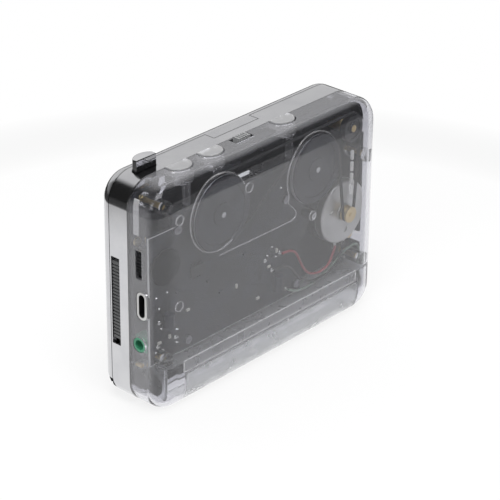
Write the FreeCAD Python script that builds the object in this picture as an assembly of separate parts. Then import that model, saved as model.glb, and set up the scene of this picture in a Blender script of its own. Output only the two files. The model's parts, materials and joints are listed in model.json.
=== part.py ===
import FreeCAD, Part
import math
import os

# A pocket cassette player. Sizes are in millimetres.
# X runs along the length, with the sockets at +X. Y runs from the cassette door at -Y to the clear
# back at +Y, and the seam between the front frame and the back shell is y = 0. Z is up from the base.

V = FreeCAD.Vector
Y_AXIS = V(0, 1, 0)
X_AXIS = V(1, 0, 0)
Z_AXIS = V(0, 0, 1)

# Case
BODY_LENGTH = 114.0
BODY_HEIGHT = 83.5
FRONT_DEPTH = 13.7
REAR_DEPTH = 13.7
WALL = 1.6
CORNER_RADIUS = 9.7
FRONT_ROUND = 5.5
REAR_ROUND = 6.1
PART_GAP = 0.25
SLIDE_GAP = 0.3
LEDGE_WIDTH = 1.5
LEDGE_DEPTH = 1.2

# Cassette door and its hinge
DOOR_DEPTH = 5.25
SILL_HEIGHT = 4.0
HINGE_RADIUS = 1.65
HINGE_PIN_RADIUS = 0.7
HINGE_PIN_LENGTH = 7.0
PIN_GAP = 0.06
KNUCKLE_WIDTH = 3.0
KNUCKLE_INSET = 11.5
TONGUE_WIDTH = 22.0
TONGUE_REACH = 4.2
TONGUE_THICKNESS = 0.9
WINDOW_WIDTH = 78.0
WINDOW_HEIGHT = 38.0
WINDOW_CENTRE_Z = 43.0
WINDOW_RADIUS = 4.0
PANE_THICKNESS = 0.8
PANE_LIP = 1.6
PANE_LIP_THICKNESS = 0.6
PANE_GAP = 0.1
CLIP_HEIGHT = 34.0
CLIP_THICKNESS = 0.9
CLIP_GRIP = 4.0

# Cassette that the bay holds
CASSETTE_LENGTH = 100.4
CASSETTE_TOP_Z = 74.5
REEL_SPACING = 42.5
REEL_DROP = 23.0
CAPSTAN_SPACING = 48.0
CAPSTAN_Z = 65.0

# Chassis deck
DECK_THICKNESS = 1.4
DECK_START_Y = 0.1
DECK_TOP_Z = 79.2
DECK_MARGIN = 0.3
DECK_FLANGE_DEPTH = 4.9
RIM_NOTCH = 2.4
PILLAR_RADIUS = 2.4
SCREW_RADIUS = 1.0
SCREW_HEAD_RADIUS = 2.0
SCREW_HEAD_HEIGHT = 0.9
SCREW_LENGTH = 7.5
PILLAR_INSETS = (6.8, 6.6, 6.6, 5.2)
PILLAR_HEIGHTS = (76.3, 20.4, 20.4, 61.0)
BOSS_RADIUS = 1.9
BOSS_DEPTH = 3.2
FRAME_SCREW_RADIUS = 0.8
FRAME_SCREW_HEAD = 1.5
BOSS_INSET = 3.6
BOSS_HEIGHTS = (62.6, 70.0, 26.0)

# Tape drive
SHAFT_RADIUS = 1.0
SHAFT_GAP = 0.04
BUSH_RADIUS = 2.2
SHOULDER_RADIUS = 1.8
FLYWHEEL_THICKNESS = 1.9
FLYWHEEL_BACK_ROOM = 0.9
SOCKET_FLYWHEEL_RADIUS = 13.5
MOTOR_FLYWHEEL_RADIUS = 12.6
FLYWHEEL_BEVEL = 0.4
HUB_RADIUS = 2.9
HUB_DEPTH = 0.9
MOTOR_INSET = 14.0
MOTOR_Z = 40.7
MOTOR_RADIUS = 12.0
MOTOR_FLYWHEEL_GAP = 1.4
MOTOR_TAB_OFFSET = 2.4
MOTOR_TAB_WIDTH = 1.4
MOTOR_TAB_LENGTH = 2.4
MOTOR_SHAFT_RADIUS = 0.75
MOTOR_VENT_RADIUS = 1.1
MOTOR_VENT_CIRCLE = 7.4
MOTOR_RING_WIDTH = 0.35
MOTOR_RING_DEPTH = 3.2
PULLEY_RADIUS = 2.5
PULLEY_FLANGE = 0.45
PULLEY_DEPTH = 2.6
IDLER_INSET = 13.7
IDLER_Z = 74.1
IDLER_RADIUS = 4.9
IDLER_POST_RADIUS = 1.2
BELT_WIDTH = 1.1
BELT_OFFSET = 0.2
BELT_THICKNESS = 0.4
BELT_GAP = 0.1
CAPSTAN_REACH = 9.0
REEL_RADIUS = 8.4
REEL_THICKNESS = 1.3
SPINDLE_RADIUS = 3.0
SPINDLE_REACH = 8.8
SPINDLE_SPLINES = 3
REEL_PIN_RADIUS = 0.75
REEL_PLATE_THICKNESS = 0.8
REEL_PLATE_POST_X = 9.4
DRIVE_GAP = 0.12
SIDE_GAP = 0.3

# Head bridge and pinch rollers
PLAY_TRAVEL = 3.6
BRIDGE_THICKNESS = 1.0
BRIDGE_START_Y = 2.0
BRIDGE_BOTTOM_Z = 70.6
BRIDGE_TOP_Z = 76.7
HEAD_WIDTH = 12.0
HEAD_HEIGHT = 4.2
HEAD_DEPTH = 7.4
ROLLER_RADIUS = 3.3
ROLLER_LENGTH = 5.2
ROLLER_START_Y = -6.85
ROLLER_STOP_GAP = 0.35
ROLLER_Z = 78.2
ARM_PIVOT_X = 37.0
ARM_PIVOT_Z = 75.95
ARM_THICKNESS = 0.9
ARM_WIDTH = 2.6
ARM_PIN_RADIUS = 0.6

# Keys on the top edge
KEY_WIDTH = 9.6
KEY_DEPTH = 6.0
KEY_PROUD = 0.6
KEY_TRAVEL = 2.5
KEY_HEIGHT = 4.0
KEY_SKIRT = 2.2
KEY_CENTRES = (34.6, 19.6, -16.5)
KEY_LEVER_WIDTH = 2.0
KEY_LEVER_BOTTOM_Z = 70.0
PLAY_KEY_INSET = 12.8
PLAY_KEY_WIDTH = 9.2
PLAY_KEY_DEPTH = 4.0
PLAY_KEY_PROUD = 4.5
PLAY_KEY_SETBACK = 4.8

# Springs: wire radius and mean coil radius, with their turns
KEY_SPRING = (0.2, 1.3)
KEY_SPRING_TURNS = 5
KEY_SPRING_SEAT_Z = 64.4
BRIDGE_SPRING = (0.25, 1.5)
BRIDGE_SPRING_TURNS = 8
BRIDGE_SPRING_SEAT_Z = 61.0
BRIDGE_SPRING_Y = 3.65
LATCH_SPRING = (0.2, 1.05)
LATCH_SPRING_TURNS = 7
LATCH_SPRING_SEAT_Z = 13.5
BATTERY_SPRING = (0.3, 3.6)
BATTERY_SPRING_TURNS = 3
BATTERY_SPRING_LENGTH = 5.0
SPRING_SEAT_THICKNESS = 1.2
SPRING_END_GAP = 0.02

# Door latch slider at the +X end
LATCH_SLOT_HIGH_Z = 55.1
LATCH_SLOT_SETBACK = 0.5
LATCH_SLOT_WIDTH = 3.8
LATCH_GRIP_LENGTH = 29.0
LATCH_GRIP_BOTTOM_Z = 24.5
LATCH_TRAVEL = 1.9
LATCH_RIB_PITCH = 1.25
LATCH_FLANGE = 1.1
LATCH_CATCH_INSET = 3.3
LATCH_CATCH_WIDTH = 1.4
LATCH_CATCH_REACH = 1.4
LATCH_CATCH_BOTTOM_Z = 43.5
LATCH_CATCH_TOP_Z = 47.4
LATCH_SPRING_INSET = 3.1
LATCH_FOOT_DROP = 1.2
LATCH_LUG_TOP_Z = 49.4

# Circuit board and what it carries
BOARD_BACK_ROOM = 5.3
BOARD_THICKNESS = 1.2
BOARD_END_GAP = 0.5
BOARD_POST_RADIUS = 1.6
BOARD_POSTS = ((-11.0, 57.0), (-17.2, 22.0), (38.0, 22.0), (42.5, 65.0))
SOLDER_RADIUS = 0.9
SOLDER_PLACES = ((-8.6, 37.4), (-1.0, 37.0), (-4.6, 32.0), (-12.0, 21.8),
                 (50.6, 33.4), (44.2, 30.2), (43.2, 25.0), (51.4, 24.6))
CHIP_PLACE = (34.0, 47.0)
CHIP_SIZE = (6.0, 4.0)
CHIP_LEG_PITCH = 1.27
CAN_CAPACITOR_RADIUS = 1.7
CAN_CAPACITORS = ((48.0, 31.5, 36.5), (-6.0, 24.0, 30.0))
CHIP_CAPACITORS = ((51.0, 50.5), (46.0, 48.0), (42.5, 42.0), (28.0, 40.5), (22.0, 34.0), (10.0, 44.0))
CHIP_CAPACITOR_SIZE = (1.6, 0.8)
BOARD_LEFT_X = -19.6
BOARD_BOTTOM_Z = 18.6
BOARD_TOP_Z = 70.4
USB_Z = 41.0
USB_SINK = 0.7
USB_WIDTH = 8.94
USB_THICKNESS = 3.2
USB_WALL = 0.3
USB_LENGTH = 7.4
USB_FLANGE_MARGIN = 0.75
JACK_Z = 25.9
JACK_SINK = 2.1
JACK_RADIUS = 2.6
JACK_BORE = 1.8
JACK_DEPTH = 12.0
JACK_BODY_HEIGHT = 5.6
VOLUME_INSET = 8.8
VOLUME_Z = 56.0
VOLUME_RADIUS = 8.7
VOLUME_THICKNESS = 2.2
VOLUME_SINK = 2.85
VOLUME_STUD_RADIUS = 1.4
VOLUME_SLOT_REACH = 5.2
VOLUME_TEETH = 48
SWITCH_X = 4.6
SWITCH_TRAVEL = 1.5
SWITCH_KNOB_WIDTH = 5.6
SWITCH_RIBS = 5
SWITCH_HEIGHT = 4.6

# Batteries, two in line along the base
BATTERY_RADIUS = 7.25
BATTERY_LENGTH = 50.5
BATTERY_Y = 4.7
BATTERY_Z = 9.6
TRAY_WALL = 0.7
TRAY_INSET = 4.9
TERMINAL_RADIUS = 5.2
SPRING_ROOM = 1.9
TERMINAL_THICKNESS = 0.4
BUTTON_HEIGHT = 0.6
LID_LOW_INSET = 10.6
LID_HIGH_INSET = 13.6
LID_TOP_Z = 12.6
LID_FRONT_Y = 4.3

# Motor and battery leads
LEAD_RADIUS = 0.45

# Worked out from the sizes above
HALF_LENGTH = BODY_LENGTH / 2
INNER_X = HALF_LENGTH - WALL
KNUCKLE_X = HALF_LENGTH - KNUCKLE_INSET
PILLAR_SIDES = (1, 1, -1, -1)
PILLARS = [(side * (HALF_LENGTH - inset), z)
           for side, inset, z in zip(PILLAR_SIDES, PILLAR_INSETS, PILLAR_HEIGHTS)]
BOSS_SIDES = (1, -1, -1)
FRAME_BOSSES = [(side * (HALF_LENGTH - BOSS_INSET), z) for side, z in zip(BOSS_SIDES, BOSS_HEIGHTS)]
DOOR_REAR_Y = DOOR_DEPTH - FRONT_DEPTH
FRAME_FRONT_Y = DOOR_REAR_Y + PART_GAP
HINGE_Y = -FRONT_DEPTH + HINGE_RADIUS + 0.05
HINGE_Z = SILL_HEIGHT + HINGE_RADIUS + PART_GAP
DECK_REAR_Y = DECK_START_Y + DECK_THICKNESS
REEL_Z = CAPSTAN_Z - REEL_DROP
FLYWHEEL_START_Y = REAR_DEPTH - WALL - FLYWHEEL_BACK_ROOM - FLYWHEEL_THICKNESS
FLYWHEEL_REAR_Y = FLYWHEEL_START_Y + FLYWHEEL_THICKNESS
BELT_START_Y = FLYWHEEL_START_Y + BELT_OFFSET
BOARD_START_Y = REAR_DEPTH - WALL - BOARD_BACK_ROOM
BOARD_REAR_Y = BOARD_START_Y + BOARD_THICKNESS
BOARD_RIGHT_X = INNER_X - BOARD_END_GAP
USB_Y = BOARD_START_Y - USB_SINK
JACK_Y = BOARD_START_Y - JACK_SINK
VOLUME_X = HALF_LENGTH - VOLUME_INSET
VOLUME_START_Y = BOARD_START_Y - VOLUME_SINK
MOTOR_X = MOTOR_INSET - HALF_LENGTH
MOTOR_TABS = (MOTOR_X - MOTOR_TAB_OFFSET, MOTOR_X + MOTOR_TAB_OFFSET)
MOTOR_START_Y = DECK_REAR_Y
MOTOR_REAR_Y = FLYWHEEL_START_Y - MOTOR_FLYWHEEL_GAP
IDLER_X = IDLER_INSET - HALF_LENGTH
KEY_TOP_Z = BODY_HEIGHT + KEY_PROUD
KEY_START_Y = PART_GAP
KEY_BOTTOM_Z = KEY_TOP_Z - KEY_HEIGHT
SKIRT_START_Y = BRIDGE_START_Y + BRIDGE_THICKNESS + SLIDE_GAP
LEVER_START_Y = BRIDGE_START_Y + BRIDGE_THICKNESS + 0.8
LEVER_DEPTH = 2.0
LEVER_Y = LEVER_START_Y + LEVER_DEPTH / 2
PLAY_KEY_X = HALF_LENGTH - PLAY_KEY_INSET
PLAY_KEY_REAR_Y = FRAME_FRONT_Y + PLAY_KEY_SETBACK
PLAY_KEY_BOTTOM_Z = BRIDGE_TOP_Z + 0.1
LATCH_SLOT_FRONT_Y = FRAME_FRONT_Y + LATCH_SLOT_SETBACK
LATCH_SLOT_REAR_Y = LATCH_SLOT_FRONT_Y + LATCH_SLOT_WIDTH
LATCH_CATCH_X = HALF_LENGTH - LATCH_CATCH_INSET
LATCH_SPRING_X = HALF_LENGTH - LATCH_SPRING_INSET
LATCH_FOOT_Z = LATCH_GRIP_BOTTOM_Z - LATCH_FOOT_DROP
LATCH_SLOT_LOW_Z = LATCH_GRIP_BOTTOM_Z - LATCH_TRAVEL - SLIDE_GAP
SOCKET_SIDE = (CAPSTAN_SPACING / 2, CAPSTAN_Z)
MOTOR_SIDE = (-CAPSTAN_SPACING / 2, CAPSTAN_Z)
LATCH_SPRING_Y = (LATCH_SLOT_FRONT_Y + LATCH_SLOT_REAR_Y) / 2
SWITCH_BOTTOM_Z = BODY_HEIGHT - WALL - SWITCH_HEIGHT
REEL_START_Y = DECK_REAR_Y + SIDE_GAP
REEL_PLATE_Y = REEL_START_Y + REEL_THICKNESS + SIDE_GAP
TRAY_HIGH_X = HALF_LENGTH - TRAY_INSET
TRAY_FRONT_Y = BATTERY_Y - BATTERY_RADIUS - PANE_GAP / 2 - TRAY_WALL
CLIP_REAR_Y = TRAY_FRONT_Y - PART_GAP
LID_LOW_X = LID_LOW_INSET - HALF_LENGTH
LID_HIGH_X = HALF_LENGTH - LID_HIGH_INSET
TRAY_BAY_LENGTH = 2 * BATTERY_LENGTH + 2 * TERMINAL_THICKNESS + BUTTON_HEIGHT + SPRING_ROOM
TRAY_LOW_X = TRAY_HIGH_X - TRAY_BAY_LENGTH - 2 * TRAY_WALL
TRAY_ROOF_Z = BATTERY_Z + BATTERY_RADIUS + 0.05
DECK_BOTTOM_Z = TRAY_ROOF_Z + TRAY_WALL
IDLER_WHEEL_SPAN = math.hypot(CAPSTAN_SPACING / 2 - REEL_SPACING / 2, REEL_DROP)
IDLER_WHEEL_RADIUS = (IDLER_WHEEL_SPAN - SHOULDER_RADIUS - REEL_RADIUS) / 2 - DRIVE_GAP


def box(x0, x1, y0, y1, z0, z1):
    """Block between two corners."""
    return Part.makeBox(x1 - x0, y1 - y0, z1 - z0, V(x0, y0, z0))


def rod_y(x, z, radius, y0, y1):
    """Round bar along Y."""
    return Part.makeCylinder(radius, y1 - y0, V(x, y0, z), Y_AXIS)


def rod_x(y, z, radius, x0, x1):
    """Round bar along X."""
    return Part.makeCylinder(radius, x1 - x0, V(x0, y, z), X_AXIS)


def rod_z(x, y, radius, z0, z1):
    """Round bar along Z."""
    return Part.makeCylinder(radius, z1 - z0, V(x, y, z0), Z_AXIS)


def join(shapes):
    """One shape from several that overlap or touch."""
    whole = shapes[0]
    for piece in shapes[1:]:
        whole = whole.fuse(piece)
    return whole.removeSplitter()


def rounded_slab(x0, x1, z0, z1, radius, y0, y1):
    """Plate in the XZ plane with rounded corners."""
    lows = (x0 + radius, z0 + radius)
    highs = (x1 - radius, z1 - radius)
    turn = radius * math.sqrt(0.5)
    edges = []
    corners = (
        (highs[0], lows[1], 1, -1),
        (highs[0], highs[1], 1, 1),
        (lows[0], highs[1], -1, 1),
        (lows[0], lows[1], -1, -1),
    )
    ends = []
    for cx, cz, sx, sz in corners:
        first = V(cx, y0, cz + sz * radius)
        second = V(cx + sx * radius, y0, cz)
        if sx * sz > 0:
            first, second = second, first
        middle = V(cx + sx * turn, y0, cz + sz * turn)
        ends.append((first, second))
        edges.append(Part.Arc(first, middle, second).toShape())
    for index in range(4):
        edges.append(Part.makeLine(ends[index][1], ends[(index + 1) % 4][0]))
    wire = Part.Wire(Part.__sortEdges__(edges))
    return Part.Face(wire).extrude(V(0, y1 - y0, 0))


def edges_at_y(shape, y):
    """Edges that lie in the plane at y."""
    found = []
    for edge in shape.Edges:
        box_ = edge.BoundBox
        if abs(box_.YMin - y) < 1e-6 and abs(box_.YMax - y) < 1e-6:
            found.append(edge)
    return found


def case_slab(inset, y0, y1):
    """Slab with the case's outline, drawn in by an inset."""
    return rounded_slab(
        -HALF_LENGTH + inset, HALF_LENGTH - inset, inset, BODY_HEIGHT - inset, CORNER_RADIUS - inset, y0, y1
    )


def front_solid(inset):
    """Front half of the case as a solid with its rounded rim."""
    face_y = -FRONT_DEPTH + inset
    slab = case_slab(inset, face_y, 0)
    return slab.makeFillet(FRONT_ROUND - inset, edges_at_y(slab, face_y))


def rear_solid(inset):
    """Back half of the case as a solid with its rounded rim."""
    face_y = REAR_DEPTH - inset
    slab = case_slab(inset, 0, face_y)
    return slab.makeFillet(REAR_ROUND - inset, edges_at_y(slab, face_y))


def d_block(x0, x1, flat_y, arc_y, z0, z1):
    """Upright block with one flat side and one bowed side."""
    middle = (x0 + x1) / 2
    shoulder_y = flat_y + (arc_y - flat_y) * 0.45
    start = V(x0, flat_y, z0)
    right = V(x1, flat_y, z0)
    edges = [
        Part.makeLine(start, right),
        Part.makeLine(right, V(x1, shoulder_y, z0)),
        Part.Arc(V(x1, shoulder_y, z0), V(middle, arc_y, z0), V(x0, shoulder_y, z0)).toShape(),
        Part.makeLine(V(x0, shoulder_y, z0), start),
    ]
    return Part.Face(Part.Wire(edges)).extrude(V(0, 0, z1 - z0))


def coil(x, y, z0, z1, spring, turns):
    """Compression spring along Z: one tube through half turns that climb evenly."""
    wire_radius, mean_radius = spring
    pitch = (z1 - z0 - 2 * wire_radius) / turns
    start = V(x + mean_radius, y, z0 + wire_radius)
    steps = turns * 4
    points = []
    for step in range(steps * 2 + 1):
        angle = math.pi / 4 * step
        rise = pitch * step / 8
        points.append(V(x + mean_radius * math.cos(angle), y + mean_radius * math.sin(angle),
                        z0 + wire_radius + rise))
    edges = []
    for step in range(steps):
        edges.append(Part.Arc(points[2 * step], points[2 * step + 1], points[2 * step + 2]).toShape())
    path = Part.Wire(edges)
    climb = V(0, mean_radius, pitch / (2 * math.pi))
    ring = Part.Wire(Part.makeCircle(wire_radius, start, climb))
    return path.makePipeShell([ring], True, False), pitch - 2 * wire_radius


def spring_between(name, x, y, z0, z1, spring, turns):
    """Spring solid, with its least gap to itself printed."""
    solid, gap = coil(x, y, z0, z1, spring, turns)
    print(name, "gap between turns", round(gap, 2))
    return solid


def lead(points, radius):
    """Wire through points, as straight runs joined by tangent arcs."""
    count = len(points)
    edges = []
    radii = []
    here = points[0]
    for index in range(1, count - 1):
        before = points[index] - points[index - 1]
        after = points[index + 1] - points[index]
        turn = before.getAngle(after)
        reach = 0.45 * min(before.Length, after.Length)
        arc_radius = reach / math.tan(turn / 2)
        radii.append(round(arc_radius, 1))
        a = points[index] - before.normalize() * reach
        b = points[index] + after.normalize() * reach
        inward = (a + b) * 0.5 - points[index]
        centre_distance = math.hypot(arc_radius, reach)
        centre = points[index] + inward.normalize() * centre_distance
        middle = centre + (points[index] - centre).normalize() * arc_radius
        edges.append(Part.makeLine(here, a))
        edges.append(Part.Arc(a, middle, b).toShape())
        here = b
    edges.append(Part.makeLine(here, points[-1]))
    path = Part.Wire(edges)
    ring = Part.Wire(Part.makeCircle(radius, points[0], points[1] - points[0]))
    tube = path.makePipeShell([ring], True, False)
    print("lead radii", radii, "volume share", round(tube.Volume / (math.pi * radius ** 2 * path.Length), 4))
    return tube


def case_pillars(radius, y0, y1):
    """Round posts at the four screw places."""
    return [rod_y(x, z, radius, y0, y1) for x, z in PILLARS]


def make_front_frame():
    """Plated ring with the sill that the door stands on."""
    ring = front_solid(0).cut(front_solid(WALL))
    ring = ring.cut(box(-HALF_LENGTH, HALF_LENGTH, -FRONT_DEPTH, FRAME_FRONT_Y, SILL_HEIGHT, BODY_HEIGHT))
    ledge = case_slab(WALL - 0.2, -LEDGE_DEPTH, 0).cut(case_slab(WALL + LEDGE_WIDTH, -LEDGE_DEPTH, 0))
    bosses = [rod_y(x, z, BOSS_RADIUS, -BOSS_DEPTH, 0) for x, z in FRAME_BOSSES]
    sill_top = box(-INNER_X + 4, INNER_X - 4, HINGE_Y - 1.2, FRAME_FRONT_Y + 2,
                   SILL_HEIGHT - WALL, SILL_HEIGHT)
    sill_top = sill_top.common(front_solid(WALL - 0.2))
    frame = join([ring, ledge, sill_top] + bosses)
    for x, z in FRAME_BOSSES:
        frame = frame.cut(rod_y(x, z, FRAME_SCREW_RADIUS + SHAFT_GAP, -BOSS_DEPTH + 0.4, 1))
    for side in (-1, 1):
        frame = frame.fuse(knuckle_post(side * KNUCKLE_X))
    frame = frame.cut(latch_slot())
    half_tongue = TONGUE_WIDTH / 2 + PART_GAP
    pocket_rear = -TONGUE_REACH + PART_GAP
    pocket = box(-half_tongue, half_tongue, FRAME_FRONT_Y - 1, pocket_rear,
                 BODY_HEIGHT - TONGUE_THICKNESS - PART_GAP / 2, BODY_HEIGHT)
    frame = frame.cut(pocket)
    key = d_block(PLAY_KEY_X - PLAY_KEY_WIDTH / 2 - SLIDE_GAP, PLAY_KEY_X + PLAY_KEY_WIDTH / 2 + SLIDE_GAP,
                  PLAY_KEY_REAR_Y + SLIDE_GAP, PLAY_KEY_REAR_Y - PLAY_KEY_DEPTH - SLIDE_GAP,
                  BODY_HEIGHT - WALL - 1, BODY_HEIGHT + 1)
    frame = frame.cut(key)
    arm_low, arm_high = play_arm_span()
    frame = frame.cut(box(arm_low - SLIDE_GAP, arm_high + SLIDE_GAP, -LEDGE_DEPTH - 0.1, 0,
                          CASSETTE_TOP_Z, BODY_HEIGHT - WALL))
    seat = box(INNER_X - 3.2, INNER_X + 0.2, LATCH_SLOT_FRONT_Y + 0.4, LATCH_SLOT_REAR_Y,
               LATCH_SPRING_SEAT_Z - SPRING_SEAT_THICKNESS, LATCH_SPRING_SEAT_Z)
    return frame.fuse(seat).removeSplitter()


def knuckle_post(x):
    """Post on the sill that holds a hinge pin."""
    half = KNUCKLE_WIDTH / 2
    round_part = rod_x(HINGE_Y, HINGE_Z, HINGE_RADIUS - 0.05, x - half, x + half)
    foot = box(x - half, x + half, HINGE_Y - 1.3, HINGE_Y + 1.4, SILL_HEIGHT - WALL, HINGE_Z)
    bore = rod_x(HINGE_Y, HINGE_Z, HINGE_PIN_RADIUS + 0.01, x - half, x + half)
    return round_part.fuse(foot).cut(bore)


def latch_slot():
    """Slot in the +X wall for the latch grip."""
    return box(INNER_X - 1, HALF_LENGTH + 1, LATCH_SLOT_FRONT_Y, LATCH_SLOT_REAR_Y,
               LATCH_SLOT_LOW_Z, LATCH_SLOT_HIGH_Z)


def make_door():
    """Door tray with its tongue, hinge roll and latch lug."""
    tray = front_solid(0).cut(front_solid(WALL))
    tray = tray.cut(box(-HALF_LENGTH, HALF_LENGTH, DOOR_REAR_Y, 0, 0, BODY_HEIGHT))
    tray = tray.cut(box(-HALF_LENGTH, HALF_LENGTH, -FRONT_DEPTH, 0, 0, HINGE_Z))
    roll_top = HINGE_Z + HINGE_RADIUS + PART_GAP
    tray = tray.cut(box(-HALF_LENGTH, HALF_LENGTH, HINGE_Y + HINGE_RADIUS, 0, 0, roll_top))
    roll = rod_x(HINGE_Y, HINGE_Z, HINGE_RADIUS, -HALF_LENGTH, HALF_LENGTH).common(front_solid(0))
    half_tongue = TONGUE_WIDTH / 2
    tongue = box(-half_tongue, half_tongue, DOOR_REAR_Y - 2, -TONGUE_REACH,
                 BODY_HEIGHT - TONGUE_THICKNESS, BODY_HEIGHT)
    tongue = tongue.common(front_solid(0))
    lug = box(LATCH_CATCH_X - LATCH_CATCH_WIDTH, INNER_X + 0.3, DOOR_REAR_Y - 2.6, DOOR_REAR_Y,
              LATCH_CATCH_TOP_Z + SLIDE_GAP, LATCH_LUG_TOP_Z).common(front_solid(WALL / 2))
    door = join([tray, roll, tongue, lug])
    for side in (-1, 1):
        x = side * KNUCKLE_X
        half = KNUCKLE_WIDTH / 2 + PART_GAP
        door = door.cut(box(x - half, x + half, -FRONT_DEPTH - 1, 0, 0, roll_top))
        door = door.cut(rod_x(HINGE_Y, HINGE_Z, HINGE_PIN_RADIUS + PIN_GAP,
                              x - HINGE_PIN_LENGTH / 2 - PART_GAP, x + HINGE_PIN_LENGTH / 2 + PART_GAP))
    face_y = -FRONT_DEPTH
    door = door.cut(window_slab(0, face_y - 1, face_y + WALL + 1))
    return door.cut(window_slab(PANE_LIP + PANE_GAP, face_y + PANE_THICKNESS, face_y + WALL + 1))


def window_slab(outset, y0, y1):
    """Slab with the window's outline, grown by an outset."""
    half_width = WINDOW_WIDTH / 2 + outset
    half_height = WINDOW_HEIGHT / 2 + outset
    return rounded_slab(-half_width, half_width, WINDOW_CENTRE_Z - half_height, WINDOW_CENTRE_Z + half_height,
                        WINDOW_RADIUS + outset, y0, y1)


def make_door_window():
    """Clear pane with a lip behind the door's wall."""
    face_y = -FRONT_DEPTH
    pane = window_slab(-PANE_GAP, face_y + 0.2, face_y + PANE_THICKNESS + 0.1)
    lip = window_slab(PANE_LIP, face_y + PANE_THICKNESS, face_y + PANE_THICKNESS + PANE_LIP_THICKNESS)
    return pane.fuse(lip).removeSplitter()


def make_cassette_clips():
    """Two channels inside the door that hold the cassette's lower corners."""
    clips = []
    inner = CASSETTE_LENGTH / 2 + 0.3
    low = HINGE_Z + HINGE_RADIUS + 2.5
    front = -FRONT_DEPTH + WALL
    for side in (-1, 1):
        x0, x1 = sorted((side * (inner - CLIP_GRIP), side * (inner + CLIP_THICKNESS)))
        channel = box(x0, x1, front, CLIP_REAR_Y, low, low + CLIP_HEIGHT)
        x0, x1 = sorted((side * (inner - CLIP_GRIP - 1), side * inner))
        room = box(x0, x1, front + CLIP_THICKNESS, CLIP_REAR_Y - CLIP_THICKNESS,
                   low + CLIP_THICKNESS, low + CLIP_HEIGHT + 1)
        clips.append(channel.cut(room))
    return Part.makeCompound(clips)


def make_hinge_pins():
    """Two steel pins along X."""
    half = HINGE_PIN_LENGTH / 2
    return Part.makeCompound([
        rod_x(HINGE_Y, HINGE_Z, HINGE_PIN_RADIUS, side * KNUCKLE_X - half, side * KNUCKLE_X + half)
        for side in (-1, 1)
    ])


def key_span(centre):
    """Low and high X of a clear key."""
    return centre - KEY_WIDTH / 2, centre + KEY_WIDTH / 2


def switch_slot():
    """Slot in the back shell's top for the slide switch knob."""
    reach = SWITCH_KNOB_WIDTH / 2 + SWITCH_TRAVEL + SLIDE_GAP
    return box(SWITCH_X - reach, SWITCH_X + reach, 0.7, 4.3, BODY_HEIGHT - WALL - 1, BODY_HEIGHT + 1)


def make_rear_shell():
    """Clear back shell with its pillars and openings."""
    hollow = rear_solid(WALL)
    shell = rear_solid(0).cut(hollow)
    limit = rear_solid(WALL / 2)
    pillars = [rod.common(limit) for rod in case_pillars(PILLAR_RADIUS, DECK_REAR_Y, REAR_DEPTH - WALL / 2)]
    shell = join([shell] + pillars)
    for bore in case_pillars(SCREW_RADIUS + SHAFT_GAP, DECK_REAR_Y - 1, DECK_REAR_Y + SCREW_LENGTH):
        shell = shell.cut(bore)
    for centre in KEY_CENTRES:
        low, high = key_span(centre)
        opening = d_block(low - SLIDE_GAP, high + SLIDE_GAP, -1, KEY_START_Y + KEY_DEPTH + SLIDE_GAP,
                          BODY_HEIGHT - WALL - 3, BODY_HEIGHT + 1)
        shell = shell.cut(opening)
    shell = shell.cut(switch_slot())
    shell = shell.cut(box(INNER_X - 1, HALF_LENGTH + 1, VOLUME_START_Y - SLIDE_GAP,
                          VOLUME_START_Y + VOLUME_THICKNESS + SLIDE_GAP,
                          VOLUME_Z - VOLUME_SLOT_REACH, VOLUME_Z + VOLUME_SLOT_REACH))
    shell = shell.cut(usb_outline(USB_FLANGE_MARGIN + 0.1, INNER_X - 1, HALF_LENGTH + 1))
    shell = shell.cut(rod_x(JACK_Y, JACK_Z, JACK_RADIUS + 0.15, INNER_X - 1, HALF_LENGTH + 1))
    return shell.cut(lid_zone(0.2))


def lid_zone(gap):
    """Corner of the back shell that the battery lid fills."""
    return box(LID_LOW_X - gap, LID_HIGH_X + gap, LID_FRONT_Y - gap, REAR_DEPTH + 1, -1, LID_TOP_Z + gap)


def make_battery_lid():
    """Clear lid, the missing corner of the back shell."""
    return rear_solid(0).cut(rear_solid(WALL)).common(lid_zone(0))


def usb_outline(margin, x0, x1):
    """Long rounded bar with the socket's outline."""
    half_width = USB_WIDTH / 2 + margin
    half_thickness = USB_THICKNESS / 2 + margin
    straight = half_width - half_thickness
    middle = box(x0, x1, USB_Y - half_thickness, USB_Y + half_thickness, USB_Z - straight, USB_Z + straight)
    low = rod_x(USB_Y, USB_Z - straight, half_thickness, x0, x1)
    high = rod_x(USB_Y, USB_Z + straight, half_thickness, x0, x1)
    return join([middle, low, high])


def make_usb_socket():
    """Steel socket shell with a flange at its mouth and a tongue inside."""
    mouth = HALF_LENGTH - 0.15
    body = usb_outline(0, mouth - USB_LENGTH, mouth)
    flange = usb_outline(USB_FLANGE_MARGIN, INNER_X, mouth)
    hollow = usb_outline(-USB_WALL, mouth - USB_LENGTH + 0.8, mouth + 1)
    tongue = box(mouth - USB_LENGTH, mouth - 1.6, USB_Y - 0.35, USB_Y + 0.35, USB_Z - 3.3, USB_Z + 3.3)
    return body.fuse(flange).cut(hollow).fuse(tongue).removeSplitter()


def make_headphone_jack():
    """Green jack with a round mouth."""
    mouth = HALF_LENGTH - 0.15
    body_end = BOARD_RIGHT_X + 0.1
    body = box(body_end - JACK_DEPTH, body_end, DECK_REAR_Y + 0.6, BOARD_START_Y,
               JACK_Z - JACK_BODY_HEIGHT / 2, JACK_Z + JACK_BODY_HEIGHT / 2)
    barrel = rod_x(JACK_Y, JACK_Z, JACK_RADIUS, body_end, mouth)
    bore = rod_x(JACK_Y, JACK_Z, JACK_BORE, mouth - JACK_DEPTH, mouth + 1)
    return body.fuse(barrel).cut(bore)


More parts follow.
